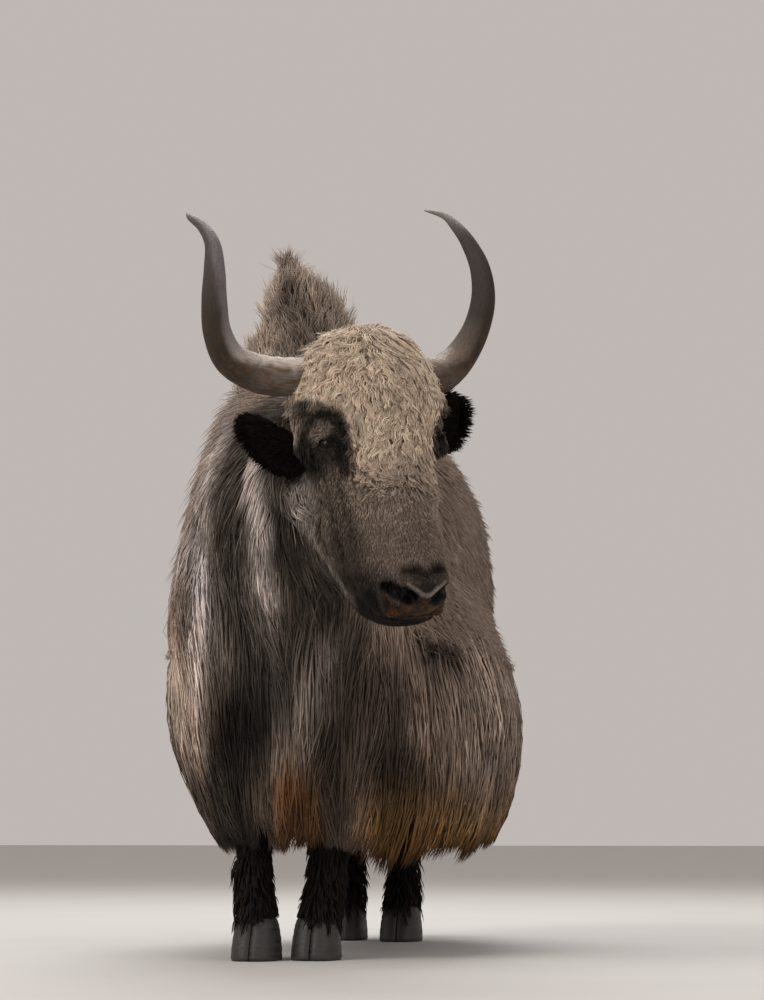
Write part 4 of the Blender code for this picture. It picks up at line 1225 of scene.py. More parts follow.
class Wrap:
    """How far the CAD's outline lies outside an upright curve, by the turn round it and height."""

    def __init__(self, nodes, curve, heights, fallback=0.0):
        bm = bmesh.new()
        for node in nodes:
            bm.from_mesh(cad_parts[node].data)
        tree = BVHTree.FromBMesh(bm)
        bm.free()
        self.curve = curve
        self.heights = heights
        self.turns = np.linspace(-np.pi, np.pi, 241)
        self.table = np.full((len(self.turns), len(heights)), np.nan)
        for j, height in enumerate(heights):
            level = np.full(len(self.turns), height)
            spots = curve(self.turns, level)
            away = self.outward(self.turns, level)
            for k, (p, n) in enumerate(zip(spots, away)):
                hit = tree.ray_cast(Vector(p + n * 0.20), Vector(-n), 0.38)
                if hit[0] is not None:
                    self.table[k, j] = 0.20 - hit[3]
        for row in self.table:
            known = ~np.isnan(row)
            row[:] = np.interp(heights, heights[known], row[known]) if known.any() else fallback
        for _ in range(4):
            ring = self.table[:-1]
            ring = (np.roll(ring, 1, 0) + 2 * ring + np.roll(ring, -1, 0)) / 4
            self.table = np.vstack([ring, ring[:1]])
            middle_part = self.table[:, 1:-1]
            self.table[:, 1:-1] = (self.table[:, :-2] + 2 * middle_part + self.table[:, 2:]) / 4

    def outward(self, turn, height):
        step = self.curve(turn + 0.01, height) - self.curve(turn - 0.01, height)
        return unit(np.stack([step[:, 1], -step[:, 0], 0 * turn], 1))

    def place(self, turn, height, inset):
        turn = (turn + np.pi) % (2 * np.pi) - np.pi
        t = (turn + np.pi) / (2 * np.pi) * (len(self.turns) - 1)
        h = np.interp(height, self.heights, np.arange(len(self.heights)))
        a = np.minimum(t.astype(int), len(self.turns) - 2)
        b = np.minimum(h.astype(int), len(self.heights) - 2)
        ta, hb = t - a, h - b
        table = self.table
        reach = (
            table[a, b] * (1 - ta) * (1 - hb) + table[a + 1, b] * ta * (1 - hb)
            + table[a, b + 1] * (1 - ta) * hb + table[a + 1, b + 1] * ta * hb
        )
        away = self.outward(turn, height)
        return self.curve(turn, height) + away * (reach - inset)[:, None], away


def hanging(name, wrap, turns, roots, tips, insets, width, finish, draw, rings=4, clump=0.05,
            gather=0.5, sway=0.02, ahead=(0, -1, 0), around=0.45):
    """Long locks from root heights down to tip heights, over a wrapped outline."""
    count = len(turns)
    spots = np.stack([turns * around, roots * 0.5, 0 * turns], 1)
    chosen = draw.choice(count, max(6, int(around * np.ptp(turns) / clump * 5)), replace=False)
    leader = nearest(spots, chosen)
    drift = draw.normal(0, sway, count) / around
    tips = tips * (1 - 0.5 * gather) + tips[leader] * 0.5 * gather
    steps = np.linspace(0, 1, rings + 2)
    steps[1:-1] = (np.arange(rings) + 0.6) / (rings + 0.35)
    lines = np.empty((count, rings + 2, 3))
    outer = np.empty((count, rings + 2, 3))
    phase = draw.uniform(0, 6.28, count)
    for k, s in enumerate(steps):
        share = gather * s**1.6
        turn = (turns + drift * s) * (1 - share) + (turns[leader] + drift[leader] * s) * share
        wave = 0.003 * np.sin(phase + 7 * s) + 0.008 * np.sin(phase[leader] + 6 * s)
        turn = turn + wave * s / around
        height = roots + (tips - roots) * s
        inset = insets * (1 - 0.6 * s) + 0.022 * (1 - s) ** 3 + 0.004 * np.sin(phase * 2 + 5 * s)
        lines[:, k], away = wrap.place(turn, height, inset)
        outer[:, k] = lines[:, k] + away * inset[:, None]
        if k == 0:
            ups = away
    thick = np.array([0.75, 1.0, 0.9, 0.6, 0.45])[:rings]
    widths = width[:, None] * thick[None]
    colour = markings(outer.reshape(-1, 3), False).reshape(count, rings + 2, 3)
    group = draw.normal(0, 1, count)
    broad = noise(np.stack([turns * around * 16, roots * 1.5, 0 * turns], 1), 1, 72)
    varied = 0.28 * group[leader] + 0.15 * draw.normal(0, 1, count) + 0.26 * broad
    varied = np.exp(np.clip(varied, -0.9, 0.7))
    # Painted shade: locks set deeper in the coat are darker, and each lock darkens toward its root.
    depth_shade = 1 - 0.35 * np.clip(insets / 0.03, 0, 1)
    tints = colour * (varied * depth_shade)[:, None, None]
    tints *= (0.75 + 0.35 * steps)[None, :, None]
    places = filled(unwrap(lines[:, 0], (0, 0.0, 0.45), (0, 0, 1), ahead, 0.5))
    return lock_mesh(name, lines, ups, widths, tints, places, finish, 0.5)


def filled(uv):
    """The unwrap stretched to fill the unit square."""
    low, high = uv.min(0), uv.max(0)
    return (uv - low) / np.maximum(high - low, 1e-6) * 0.99 + 0.005


# Where each part of the coat grows, and how it lies.


def crest_share(p):
    """1 on the tuft over the hump, where the hair stands."""
    return ramp(p[:, 2], 1.31, 1.385) * ramp(p[:, 1], -0.12, -0.25)


def trunk_lie(p, n):
    """Down over the neck and flanks, and back along the back."""
    _, y, z = p.T
    hump = ramp(z, 1.02, 1.18) * ramp(y, 0.05, -0.20)
    fore = ramp(y, -0.10, -0.40)
    upper = ramp(z, 0.75, 1.05)
    back = 0.30 + 0.9 * upper * (1 - fore) + 0.25 * hump
    lie = np.stack([0 * back, back, -(1.0 - 0.15 * hump)], 1)
    turn = 0.40 * noise(p, 5, 31) + 0.25 * noise(p, 14, 32)
    lie = lie * np.cos(turn)[:, None] + np.cross(n, lie) * np.sin(turn)[:, None]
    upright = np.array((-0.12, -0.1, 1.0)) + 0.35 * n + 0.35 * np.stack([turn, 0 * turn, 0 * turn], 1)
    rising = ramp(z, 1.10, 1.17) * ramp(y, -0.02, -0.20)
    return over(lie, rising, (0, 0, 0)) + upright * rising[:, None]


def plush_share(p):
    """1 on the left flank, where the coat is short and soft."""
    x, y, z = p.T
    return ramp(x, 0.06, 0.14) * ramp(y, -0.45, -0.30) * ramp(z, 0.56, 0.64)


def trunk_length(p):
    _, y, z = p.T
    fore = ramp(y, -0.10, -0.36)
    low = ramp(z, 0.80, 0.60)
    high = ramp(z, 1.04, 1.16)
    long = 0.050 + 0.055 * fore * (1 - high) + 0.030 * low * (1 - fore) - 0.006 * high * fore
    long = long + 0.026 * crest_share(p)
    plush = plush_share(p)
    return long * (1 - plush) + 0.040 * plush


def face_lie(p, n):
    """Down the face and back over the cheeks, parting round the eyes."""
    q = to_head(p)
    x, side = np.abs(q[:, 0]), np.sign(q[:, 0])
    cheek = ramp(x, 0.06, 0.11)
    lie = np.stack([side * 0.15, np.full(len(q), 1.0), -0.45 * cheek], 1)
    lie += 0.18 * np.stack([noise(q, 22, 41), 0 * x, noise(q, 22, 42)], 1)
    for eye_side in (1, -1):
        away = q - EYE_PLACE * (eye_side, 1, 1)
        far = np.linalg.norm(away, axis=1, keepdims=True)
        lie += away / far * ramp(far, 0.075, 0.03) * 1.2
    return lie @ HEAD.T


def curl_lie(p, n):
    """Out and down from the whorl of the forehead, with swirls."""
    q = to_head(p)
    across = q[:, 0] * 5.5 * (1 - 0.85 * ramp(q[:, 1], 0.06, 0.18))
    lie = np.stack([across, 0.40 + 3.5 * (q[:, 1] - 0.02), 0 * q[:, 0]], 1)
    turn = 0.75 * noise(q, 11, 51) + 0.45 * noise(q, 28, 52)
    c, s = np.cos(turn), np.sin(turn)
    lie = np.stack([lie[:, 0] * c - lie[:, 1] * s, lie[:, 0] * s + lie[:, 1] * c, lie[:, 2]], 1)
    return lie @ HEAD.T


def down_lie(p, n):
    return np.tile((0.0, 0.05, -1.0), (len(p), 1)) + 0.18 * n


def near_openings(p):
    """1 at the eyes' openings, the nostrils, the pad and the lips, where no hair grows."""
    share = bare_share(to_head(p))
    for side in (1, -1):
        far, polar, turn = round_eye(p - EYES[side], side)
        closed = ramp(polar - lid_edge(turn), 0.42, 0.24) * ramp(far, 0.036, 0.028)
        share = np.maximum(share, closed)
    return share


def bare_share(q):
    """1 on the nose pad, inside the nostrils and along the lips."""
    near = folded(q)
    pad = blob(near, (0.0, 0.528, -0.024), (0.045, 0.037, 0.038), 0.12)
    return np.max([pad, line_share(near, PAD_RIM, 0.0065, 0.3),
                   line_share(near, NOSTRIL, 0.0135, 0.15),
                   line_share(near, MOUTH, 0.0065, 0.3)], axis=0)


def head_chart(p):
    return filled(unwrap(p, from_head((0, 0.25, -0.09)), HEAD[:, 1], HEAD[:, 2], 0.36))


def trunk_chart(p):
    return filled(unwrap(p, (0, 0.05, 0.80), (0, 1, 0), (0, 0, 1), 0.9))


def limb_chart(p):
    return filled(unwrap(p, (p[:, 0].mean(), p[:, 1].mean(), 0.3), (0, 0, 1), (0, -1, 0), 0.4))


def constant(value):
    return lambda p: np.full(len(p), value)


def make_body_coat(skin, finishes):
    c = skin.centres
    x, y, z = c.T
    q = to_head(c)
    down, out = q[:, 1], q[:, 2]
    on_head = head_share(c)
    curls = curl_share(q)
    low = ramp(z, 0.42, 0.47)
    tail = ramp(y, 0.715, 0.735)
    trunk = (1 - on_head) * low * (1 - tail)
    legs = (1 - low) * (1 - on_head) * (z > HOOF_TOP)
    upper = z > 0.52

    def put(name, density, count, lie, length, depth, width, finish, seed, **more):
        coat(name, skin, density, int(count * FEWER), lie, length, depth,
             (lambda p: width(p) * WIDER), finishes[finish], np.random.default_rng(seed), **more)

    hump = trunk * (z > 1.06) * (y < 0.0)
    neck = trunk * (y < -0.33) * upper * (hump == 0)
    side = trunk * (y >= -0.33) * (hump == 0) * upper

    def trunk_depth(p):
        slope = ramp(p[:, 0], -0.085, -0.115) * ramp(p[:, 2], 1.20, 1.25) * ramp(p[:, 1], -0.1, -0.2)
        return coat_depth(p) * (1 - 0.65 * throat_share(p)) * (1 - 0.45 * slope)

    def finer(p):
        return 0.0027 - 0.0011 * plush_share(p)

    def on_trunk(name, density, count, width, finish, seed, **more):
        put(name, density, count, trunk_lie, trunk_length, trunk_depth, width, finish, seed,
            chart=trunk_chart, **more)

    mane = dict(rings=3, clump=0.028, gather=0.65, meander=0.18, wave_length=0.09,
                varied=(0.22, 0.15), pale=0.05, dark_root=0.62, tip=1.08, spread=0.10, stray=0.03)
    ahead = 0.45 + ramp(y, -0.12, -0.30)
    on_trunk("coat_hump", hump * ahead * (1 + 2.5 * crest_share(c)), 11500,
             lambda p: 0.0011 - 0.0003 * crest_share(p), "plush", 1, rings=2, clump=0.016,
             gather=0.35, meander=0.45, varied=(0.12, 0.14), spread=0.22, stray=0.12,
             dark_root=0.72, hug=lambda p: 0.97 - 0.87 * crest_share(p))
    right_side = x < 0.02
    on_trunk("coat_neck_right", neck * right_side, 7600, constant(0.0014), "mane", 2, **mane)
    on_trunk("coat_neck_left", neck * ~right_side, 5400, constant(0.0015), "mane", 3, **mane)
    middle_part = y < 0.30
    on_trunk("coat_side_left", side * middle_part * (x >= -0.044), 13500, finer, "coat", 4,
             clump=0.014, gather=0.35, varied=(0.10, 0.12), spread=0.12)
    on_trunk("coat_side_right", side * middle_part * (x < -0.044), 8000, constant(0.0030),
             "coat", 5, clump=0.022, gather=0.4)
    on_trunk("coat_rump", side * ~middle_part, 7500, constant(0.0032), "coat", 6, clump=0.024,
             gather=0.4)

    # The head.
    face = on_head * (1 - curls) * (1 - near_openings(c))
    jaw = (out - jaw_line(down) < 0.032) & (down > 0.13)
    close = 1 + 1.2 * ramp(down, 0.2, 0.45)

    def near_eye(p):
        return np.minimum(np.linalg.norm(p - EYES[1], axis=1), np.linalg.norm(p - EYES[-1], axis=1))

    def face_length(p):
        r = to_head(p)
        cheek = ramp(r[:, 2], -0.05, -0.12)
        long = 0.012 + 0.010 * cheek
        long *= 0.50 + 0.50 * ramp(near_eye(p), 0.02, 0.050)
        return long * (1 - 0.45 * ramp(r[:, 1], 0.46, 0.52))

    def face_depth(p):
        return coat_depth(p) * 1.1 + 0.0010

    def face_width(p):
        return 0.0008 + 0.0005 * ramp(to_head(p)[:, 1], 0.42, 0.25)

    def jaw_lie(p, n):
        lie = np.stack([0 * p[:, 0], 1 + 0 * p[:, 0], -0.45 + 0.15 * noise(p, 30, 44)], 1) @ HEAD.T
        low = ramp(to_head(p)[:, 1], 0.32, 0.42)[:, None]
        return lie * (1 - low) + np.array((-0.10, 0.05, -1.0)) * low

    put("coat_face", face * ~jaw * close, 22000, face_lie, face_length, face_depth, face_width,
        "face", 7, chart=head_chart, clump=0.008, gather=0.35, dark_root=0.75, varied=(0.14, 0.16),
        spread=0.12)
    put("coat_jaw", face * jaw, 4400, jaw_lie,
        lambda p: 0.036 + 0.010 * ramp(to_head(p)[:, 1], 0.34, 0.42), constant(0.011),
        constant(0.0013), "face", 8, rings=2, chart=head_chart, clump=0.011, gather=0.6,
        meander=0.2, wave_length=0.06, varied=(0.30, 0.22), dark_root=0.6, stray=0.08,
        hug=lambda p: 0.45 * ramp(to_head(p)[:, 1], 0.42, 0.34))

    def curl_length(p):
        r = to_head(p)
        inside = curl_edge(r[:, 1]) - np.abs(r[:, 0])
        room = np.clip(0.016 + 1.1 * inside, 0.018, 0.066)
        room = room + (0.066 - room) * ramp(r[:, 1], 0.07, 0.02)
        return room * (1 - 0.55 * ramp(r[:, 1], 0.22, 0.31))

    def curl_depth(p):
        return 0.012 + 0.004 * (noise(p, 40, 61) + 0.5)

    def curl_width(p):
        return 0.00095 - 0.0002 * ramp(to_head(p)[:, 1], 0.20, 0.28)

    wavy = dict(rings=6, chart=head_chart, clump=0.0115, gather=0.50, meander=0.78, wave_length=0.040,
                curl=0.35, dark_root=0.74, tip=1.08, varied=(0.14, 0.10), spread=0.06, stray=0.03,
                swing=0.22, flat=0.7, early=0.8, unlike=0.35)
    high = down < 0.10
    for part, here, count, seed in (("upper", high, 3600, 9), ("lower", ~high, 4200, 10)):
        put(f"coat_forehead_{part}", curls * on_head * here, count, curl_lie, curl_length,
            curl_depth, curl_width, "curls", seed, **wavy)

    # The legs, shaggy and nearly black, with less hair where the fore legs face each other.
    inner = (middle("claw_fore_left_inner")[0] + middle("claw_fore_right_inner")[0]) / 2

    def between_legs(p):
        return ramp(np.abs(p[:, 0] - inner), 0.052, 0.032) * (p[:, 1] < 0)

    def leg_length(p):
        return 0.048 - 0.024 * between_legs(p)

    def leg_depth(p):
        return 0.012 - 0.009 * between_legs(p)

    for k, (kind, name) in enumerate((a, b) for a in ("fore", "hind") for b in ("left", "right")):
        foot = foot_middle(f"{kind}_{name}")
        back = 0.05 if kind == "hind" else 0
        split = (middle(f"claw_{kind}_left_inner")[0] + middle(f"claw_{kind}_right_inner")[0]) / 2
        near = np.hypot(x - foot[0], y - foot[1] - back) < 0.125
        near &= (x > split) == (name == "left")
        put(f"coat_leg_{kind}_{name}", legs * near * (1 - 0.8 * between_legs(c)),
            1600 if kind == "fore" else 1200, down_lie, leg_length, leg_depth, constant(0.0022),
            "coat", 20 + k, rings=2, chart=limb_chart, clump=0.016, gather=0.5, meander=0.2,
            stray=0.10, hug=lambda p: np.maximum(ramp(p[:, 2], 0.08, 0.12), between_legs(p)))


def make_skirts(finishes):
    trunk = ["neck", "chest", "hump", "barrel", "rump"]
    trunk += [f"skirt_{part}_{side}"
              for part in ("fore", "flank", "hind") for side in ("left", "right")]
    wrap = Wrap(trunk, skirt_curve, np.linspace(0.20, 0.98, 40))
    rooms = (
        # name, first and last turn in degrees, locks
        ("fore_left", -93, -47, 3800),
        ("fore_right", -133, -87, 3800),
        ("flank_left", -50, 52, 3500),
        ("flank_right", 128, 230, 2000),
        ("hind_left", 50, 93, 1400),
        ("hind_right", 87, 130, 1400),
    )
    for k, (name, first, last, count) in enumerate(rooms):
        draw = np.random.default_rng(60 + k)
        count = int(count * FEWER)
        first, last = math.radians(first), math.radians(last)
        # Roots lie evenly along the outline.
        dense = np.linspace(first, last, 400)
        steps = np.linalg.norm(np.diff(skirt_curve(dense, np.full(400, 0.5)), axis=0), axis=1)
        share = np.concatenate([[0], np.cumsum(steps)]) / steps.sum()
        turns = np.interp((np.arange(count) + draw.random(count)) / count, share, dense)
        turns = turns[draw.permutation(count)]
        layer = draw.random(count)
        fore = name.startswith("fore")
        top = 0.58 if fore else 0.44
        roots = 0.34 + top * layer**1.15 + draw.normal(0, 0.015, count)
        ragged = noise(np.stack([turns * 9, layer * 0, layer * 0], 1), 1, 71)
        bottom = skirt_bottom(turns) + 0.020 * ragged
        long = 0.19 + 0.13 * draw.random(count)
        tips = np.maximum(bottom + 0.030 * draw.random(count) ** 2 - 0.006, roots - long)
        tips = np.minimum(tips, roots - 0.07)
        insets = 0.003 + 0.026 * draw.random(count) ** 1.3
        width = (0.0018 + 0.0016 * draw.random(count)) * WIDER
        width *= 1.0 if fore else 1.2
        piece = hanging(f"coat_skirt_{name}", wrap, turns, roots, tips, insets, width,
                        finishes["coat"], draw, rings=4 if fore else 3,
                        clump=0.036 if fore else 0.045, gather=0.62 if fore else 0.45,
                        sway=0.028 if fore else 0.018, ahead=(0, -1, 0) if fore else (0, 1, 0))
        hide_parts(f"skirt_{name}")


def make_tail(finishes):
    low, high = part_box("tail_switch")
    x, y = (low[0] + high[0]) / 2, (low[1] + high[1]) / 2

    def curve(turn, height):
        lean = np.interp(height, [0.28, 0.70, 0.85, 0.97], [0.0, 0.0, -0.025, -0.09])
        across, along = 0.03 * np.cos(turn), 0.03 * np.sin(turn)
        return np.stack([x + across, y + lean + along, height + 0 * turn], -1)

    wrap = Wrap(["tail_dock", "tail_switch"], curve, np.linspace(0.29, 0.98, 40))
    draw = np.random.default_rng(90)
    count = int(1400 * FEWER)
    turns = draw.uniform(-np.pi, np.pi, count)
    roots = 0.42 + 0.56 * draw.random(count)
    tips = roots - 0.20 - 0.12 * draw.random(count)
    tips = np.maximum(tips, 0.262 + 0.05 * draw.random(count) ** 2)
    tips = np.minimum(tips, roots - 0.06)
    insets = 0.002 + 0.020 * draw.random(count) ** 1.4
    piece = hanging("coat_tail", wrap, turns, roots, tips, insets, np.full(count, 0.0034),
                    finishes["coat"], draw, rings=4, around=0.11, clump=0.03, sway=0.006)


# Horns, ears, eyes and hooves.


def make_horn(side, finish):
    rows = [
        # left, ahead, up, radius
        (0.095, 0.020, -0.010, 0.0365),
        (0.151, 0.000, -0.009, 0.0375),
        (0.192, -0.034, 0.004, 0.0370),
        (0.238, -0.052, 0.034, 0.0325),
        (0.268, -0.036, 0.082, 0.0275),
        (0.279, -0.014, 0.138, 0.0245),
        (0.276, -0.010, 0.196, 0.0205),
        (0.267, -0.032, 0.250, 0.0155),
        (0.265, -0.076, 0.292, 0.0112),
        (0.268, -0.128, 0.323, 0.0068),
        (0.254, -0.180, 0.344, 0.0016),
    ]
    spread = LEFT_HORN_SPREAD if side > 0 else 1
    count, sides = 120, 36
    laid = smooth_rows(rows, count)
    root = from_head(HORN_BAR)
    steps = laid[:, :3] * (side * spread, 1, spread)
    centres = root + steps @ LEVEL
    centres[0] -= unit(centres[1] - centres[0]) * 0.012
    along = unit(np.gradient(centres, axis=0))
    across = unit(np.cross(along, LEVEL[1]))
    third = np.cross(along, across)
    t = np.linspace(0, 1, count)
    radius = laid[:, 3] * (1 + 0.020 * np.sin(t * 150 + 2 * np.sin(t * 21)) * ramp(t, 0.34, 0.10))
    radius = np.maximum(radius, 0.0007)
    turn = round_turns(sides)
    ripple = 1 + 0.010 * np.sin(5 * turn)[None] * ramp(t, 0.9, 0.3)[:, None]
    rings = centres[:, None] + (radius[:, None] * ripple)[..., None] * (
        across[:, None] * np.cos(turn)[None, :, None]
        + third[:, None] * (0.93 * np.sin(turn))[None, :, None]
    )
    data = tube(f"horn_{SIDES[side]}_keratin", rings)
    place = np.stack([np.tile(np.cos(turn), (count, 1)), np.tile(np.sin(turn), (count, 1)),
                      np.repeat(t[:, None] * 12, sides, 1)], -1).reshape(-1, 3)
    place = np.vstack([place, place[0], place[-1]])
    layer = data.attributes.new("horn_place", "FLOAT_VECTOR", "POINT")
    layer.data.foreach_set("vector", place.astype(np.float32).ravel())
    set_number(data, "along", np.append(np.repeat(t, sides), [0, 1]))
    away = normals_of(data) @ unit(LEVEL[0] * side * 0.75 - LEVEL[2] * 0.65)
    set_number(data, "outer", ramp(away, -0.20, 0.40))
    add_piece(data, finish, "horn", f"horn_{SIDES[side]}")


def make_ear(side, finishes):
    rows = [
        # out, down the face, off the face, half width, half thickness
        (0.100, 0.158, -0.098, 0.014, 0.014),
        (0.140, 0.152, -0.108, 0.037, 0.017),
        (0.170, 0.141, -0.114, 0.055, 0.015),
        (0.200, 0.124, -0.118, 0.056, 0.012),
        (0.222, 0.110, -0.120, 0.037, 0.009),
        (0.236, 0.100, -0.121, 0.010, 0.004),
    ]
    laid = smooth_rows(rows, 24)
    turn = round_turns(32)
    spread = unit(np.array([-0.12, 0.99, 0]))
    out, down, off, wide, thick = laid.T
    wide, thick = np.maximum(wide, 0.004), np.maximum(thick, 0.003)
    centre = np.stack([out, down - EAR_RISE[side], off], 1)
    across = wide[:, None] * np.cos(turn)
    through = thick[:, None] * np.sin(turn)
    # The front is hollow, like a cup.
    cup = np.where(np.sin(turn) > 0, 1.35, 0.0)[None] * (np.sin(turn) ** 2)[None] * thick[:, None]
    through = through - cup * ramp(wide, 0.012, 0.035)[:, None]
    local = centre[:, None] + spread * across[..., None] + np.array([0, 0, 1.0]) * through[..., None]
    local = local * (side, 1, 1)
    rings = from_head(local)
    data = tube(f"ear_{SIDES[side]}_skin", rings)
    points = points_of(data)
    set_tint(data, np.tile(BLACK, (len(points), 1)) * (0.8 + 0.3 * noise(points, 120, 3))[:, None])
    set_number(data, "bare", np.zeros(len(points)))
    add_piece(data, finishes["skin"], "ear_coat", f"ear_{SIDES[side]}")
    surface = Surface(data)

    def lie(p, n):
        r = to_head(p)
        along = np.interp(np.abs(r[:, 0]), out, down) - EAR_RISE[side]
        fan = (r[:, 1] - along) / 0.05
        return np.stack([np.full(len(p), side * 1.0), 0.25 + 0.9 * fan, 0 * fan], 1) @ HEAD.T

    def length(p):
        r = to_head(p)
        return 0.020 + (0.024 if side > 0 else 0.014) * ramp(np.abs(r[:, 0]), 0.15, 0.22)

    count = int(2400 * FEWER)
    middle_of_ear = from_head((side * 0.17, 0.14 - EAR_RISE[side], -0.115))
    hair = coat(f"coat_ear_{SIDES[side]}", surface, np.ones(len(surface.centres)), count, lie, length,
                constant(0.005), constant(0.0012), finishes["dark_hair"],
                np.random.default_rng(40 + side), rings=2, clump=0.012, gather=0.35,
                hug=constant(0.25), dark_root=0.8, stray=0.2,
                tone=lambda p: np.tile(BLACK, (len(p), 1)),
                chart=lambda p: filled(unwrap(p, middle_of_ear, HEAD[:, 0], HEAD[:, 2], 0.09)))


def make_eye(side, finishes):
    out, level, up = eye_axes(side)
    polar = np.linspace(0.0, np.pi, 44)[1:-1]
    turn = round_turns(56)
    bulge = 1 + 0.045 * ramp(polar, math.radians(44), math.radians(18))
    ring = EYE_RADIUS * bulge * np.sin(polar)
    rise = EYE_RADIUS * bulge * np.cos(polar)
    x = ring[:, None] * np.cos(turn)
    y = ring[:, None] * np.sin(turn)
    rings = EYES[side] + x[..., None] * level + y[..., None] * up + rise[:, None, None] * out
    data = tube(f"eye_{SIDES[side]}_ball", rings)
    rel = points_of(data) - EYES[side]
    a, b = rel @ level, rel @ up
    facing = rel @ out > 0
    flat = np.hypot(a, b)
    tint = np.tile((0.006, 0.004, 0.003), (len(rel), 1)).astype(float)
    tint = over(tint, facing * ramp(flat, 0.0125, 0.0105), (0.006, 0.0035, 0.0022))
    tint = over(tint, facing * ramp(np.hypot(a / 1.7, b), 0.0042, 0.0034), (0.0015, 0.0015, 0.002))
    set_tint(data, tint)
    add_piece(data, finishes["eye"], "eye", f"eye_{SIDES[side]}")
    # The lids' rims, round the opening.
    count, sides = 96, 10
    turn = round_turns(count)
    edge = lid_edge(turn) + 0.015
    spin = round_turns(sides)
    around = np.cos(turn)[:, None] * level + np.sin(turn)[:, None] * up
    thick = 0.0017 + 0.0006 * (np.sin(turn) > 0) * np.abs(np.sin(turn))
    direction = unit(np.cos(edge)[:, None] * out + np.sin(edge)[:, None] * around)
    tangent = unit(np.cos(edge)[:, None] * around - np.sin(edge)[:, None] * out)
    centre = EYES[side] + direction * (EYE_RADIUS + 0.0014)
    rim = centre[:, None] + thick[:, None, None] * (
        direction[:, None] * np.cos(spin)[None, :, None]
        + tangent[:, None] * np.sin(spin)[None, :, None]
    )
    faces = grid_faces(count + 1, sides) % (count * sides)
    data = mesh_from(f"eye_{SIDES[side]}_lids", rim.reshape(-1, 3), faces)
    set_tint(data, np.tile((0.006, 0.0045, 0.0035), (count * sides, 1)))
    set_number(data, "bare", np.ones(count * sides))
    add_piece(data, finishes["skin"], "nose")


def make_hoof(kind, side, label, finish):
    low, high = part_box(f"claw_{kind}_{side}_{label}")
    low, high = np.array(low), np.array(high)
    # Inner claws lie toward the animal's middle, and each pair meets at a flat face.
    foot = foot_middle(f"{kind}_{side}")
    way = 1 if (low[0] + high[0]) / 2 > foot[0] else -1
    flat = low[0] if way > 0 else high[0]
    y = low[1] + 0.067
    rows = [
        # height, reach ahead, reach behind, width
        (0.0005, 0.064, 0.045, 0.046),
        (0.008, 0.0665, 0.0465, 0.0475),
        (0.035, 0.058, 0.045, 0.046),
        (0.058, 0.048, 0.042, 0.043),
        (0.072, 0.042, 0.040, 0.040),
        (0.082, 0.036, 0.036, 0.036),
    ]
    laid = smooth_rows(rows, 22)
    half = np.linspace(0, np.pi, 27)
    rings = []
    for k, (height, ahead, behind, width) in enumerate(laid):
        groove_here = 1 + 0.010 * math.sin(k * 2.1)
        reach = np.where(half < np.pi / 2, ahead, behind)
        x = flat + way * width * np.sin(half) ** 0.7 * groove_here
        rings.append(np.stack([x, y - reach * np.cos(half), np.full(27, height)], 1))
    data = tube(f"hoof_{kind}_{side}_{label}", np.array(rings))
    add_piece(data, finish, "hoof", f"claw_{kind}_{side}_{label}")


# The studio.


def plain_material(name, colour, rough):
    m = Nodes(name)
    cloud = m.spread(m.noise(3.0, 2.0), 0, 1)
    m.set(Base_Color=m.mix(cloud, tuple(0.97 * v for v in colour), colour), Roughness=rough,
          Specular_IOR_Level=0.2)
    return m.material


def make_studio():
    far = 40.0
    corners = np.array([(-far, -far, 0), (far, -far, 0), (far, far, 0), (-far, far, 0)])
    floor = mesh_from("floor", corners, np.array([(0, 1, 2, 3)]))
    floor = add_object("floor", floor, plain_material("pale_floor", (0.62, 0.60, 0.575), 0.9))
    world = bpy.data.worlds.new("studio")
    bpy.context.scene.world = world
    world.use_nodes = True
    sky = world.node_tree.nodes["Background"]
    sky.inputs["Color"].default_value = (0.575, 0.530, 0.505, 1)
    sky.inputs["Strength"].default_value = 0.90
    for name, place, size, power, colour in (
        ("key", (-3.2, -4.2, 4.6), 3.2, 190, (1.0, 0.97, 0.94)),
        ("fill", (4.2, -3.4, 2.4), 3.5, 50, (0.95, 0.97, 1.0)),
        ("top", (-0.6, 2.6, 4.8), 3.0, 170, (0.97, 0.98, 1.0)),
    ):
        lamp = bpy.data.lights.new(name, "AREA")
        lamp.size = size
        lamp.energy = power
        lamp.color = colour
        thing = add_object(name, lamp)
        thing.location = place
        aim = Vector((0, -0.3, 0.8)) - Vector(place)
        thing.rotation_euler = aim.to_track_quat("-Z", "Y").to_euler()
    camera = bpy.data.cameras.new("camera")
    camera.lens = 88.2
    camera.sensor_width = 36
    thing = add_object("camera", camera)
    level = math.cos(CAMERA_RISE)
    look = Vector((-math.sin(CAMERA_HEADING) * level, math.cos(CAMERA_HEADING) * level,
                   math.sin(CAMERA_RISE)))
    thing.location = CAMERA_PLACE + Vector((SHIFT[0], SHIFT[1], 0))
    thing.rotation_euler = look.to_track_quat("-Z", "Y").to_euler()
    bpy.context.scene.camera = thing
    bpy.context.scene.view_settings.view_transform = "Standard"


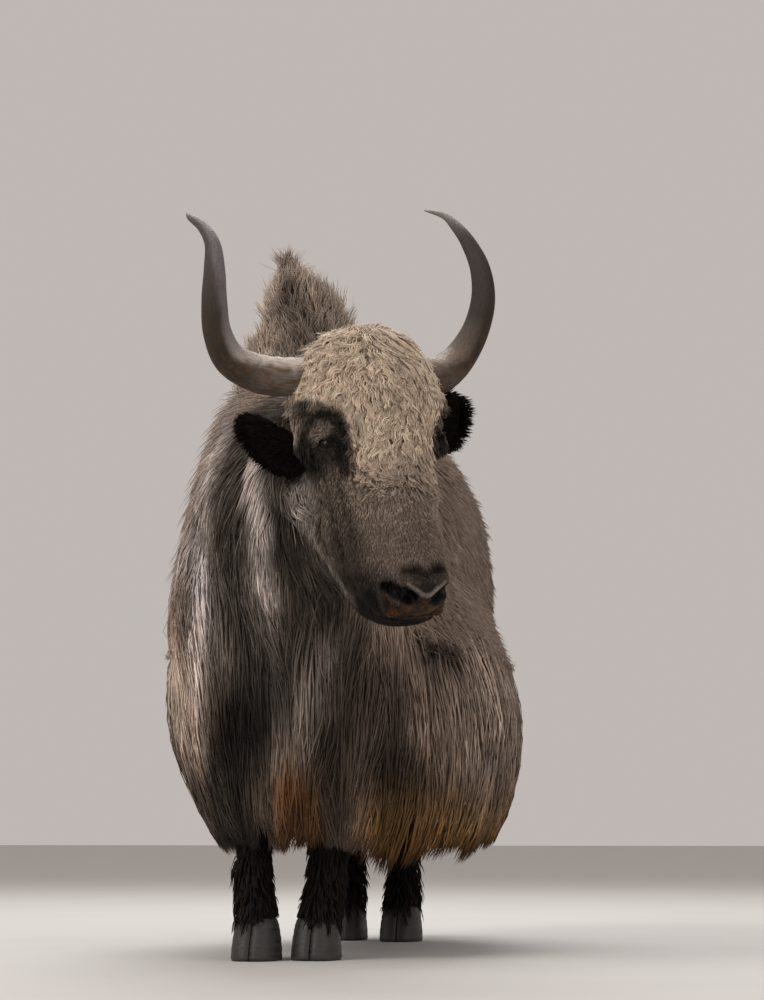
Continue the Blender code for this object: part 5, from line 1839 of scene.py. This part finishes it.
def colour_skin(data, hole, rim, lips):
    """The coat's markings, darkened under it as painted shade, and the bare pad, nostrils and lips.
    """
    points = points_of(data)
    q = to_head(points)
    normals = normals_of(data)
    # Painted shade: the skin under the coat is darker than the coat's markings.
    tint = markings(points + normals * coat_depth(points)[:, None]) * 0.55
    bald = bare_share(q) * head_share(points)
    patches = ramp(noise(points, (60, 60, 90), 5) + 0.5 * noise(points, 150, 7), -0.35, 0.45)
    speckle = ramp(noise(points, 190, 8), 0.0, 0.5)
    front = bald * ramp(q[:, 2], -0.012, -0.020)
    below = bald * ramp(q[:, 1] + 0.30 * np.abs(q[:, 0]), 0.515, 0.530)
    below *= ramp(q[:, 2], -0.024, -0.038)
    rim_highlight_share = rim * (0.80 + 0.35 * noise(points, 130, 6))
    for share, colour in (
        (bald, (0.020, 0.0155, 0.013)),
        (0.9 * front, (0.016, 0.0095, 0.0055)),
        (0.5 * front * speckle, (0.110, 0.052, 0.018)),
        (0.88 * below * (0.05 + 0.75 * patches), (0.115, 0.052, 0.017)),
        # Painted shade under the chin.
        (0.9 * bald * ramp(q[:, 2], -0.066, -0.078), (0.0065, 0.0045, 0.0032)),
        # Painted shade inside the nostrils.
        (0.97 * np.clip(hole * 5, 0, 1), (0.0022, 0.0018, 0.0016)),
        # A painted highlight along the pad's moist rim.
        (0.85 * rim_highlight_share, RIM_HIGHLIGHT),
        # Painted shade along the mouth's line.
        (0.92 * np.clip(lips * 1.6, 0, 1), (0.006, 0.0045, 0.0035)),
    ):
        tint = over(tint, share, colour)
    set_tint(data, tint)
    set_number(data, "bare", bald)


def main():
    make_studio()
    finishes = {
        "coat": hair_material("coat_hair", gloss=0.13),
        "curls": hair_material("forehead_curls", (0.50, 0.70), 0.14, (1.0, 1.0, 1.0), 0.15),
        "mane": hair_material("neck_hair", (0.52, 0.72), 0.26, (1.0, 1.0, 0.10), 0.12),
        "plush": hair_material("hump_hair", (0.60, 0.80), 0.20, (1.0, 1.0, 0.5), 0.08),
        "face": hair_material("face_hair", (0.50, 0.70), 0.22, (1.0, 1.0, 0.35)),
        "dark_hair": hair_material("ear_hair", (0.60, 0.80), 0.30, (1.0, 1.0, 0.30), 0.10, 0.0),
        "skin": skin_material(),
        # Lit and shaded copies of one horn keratin: the right horn's colours are lighter as painted
        # light, the left horn's darker as painted shade.
        "horn_right": horn_material("horn_right_keratin", (0.56, 0.465, 0.40), (0.165, 0.148, 0.148)),
        "horn_left": horn_material("horn_left_keratin", (0.26, 0.195, 0.145), (0.052, 0.042, 0.037)),
        "hoof": hoof_material(),
        "eye": eye_material(),
    }
    data, hole, rim, lips = make_skin()
    colour_skin(data, hole, rim, lips)
    data.name = "skin"
    add_piece(data, finishes["skin"], "body_coat", "head", "muzzle", *FLESH)
    skin = Surface(data)
    make_body_coat(skin, finishes)
    make_skirts(finishes)
    make_tail(finishes)
    for side in (1, -1):
        make_horn(side, finishes["horn_left" if side > 0 else "horn_right"])
        make_ear(side, finishes)
        make_eye(side, finishes)
    for kind in ("fore", "hind"):
        for side in ("left", "right"):
            for label in ("inner", "outer"):
                make_hoof(kind, side, label, finishes["hoof"])


main()
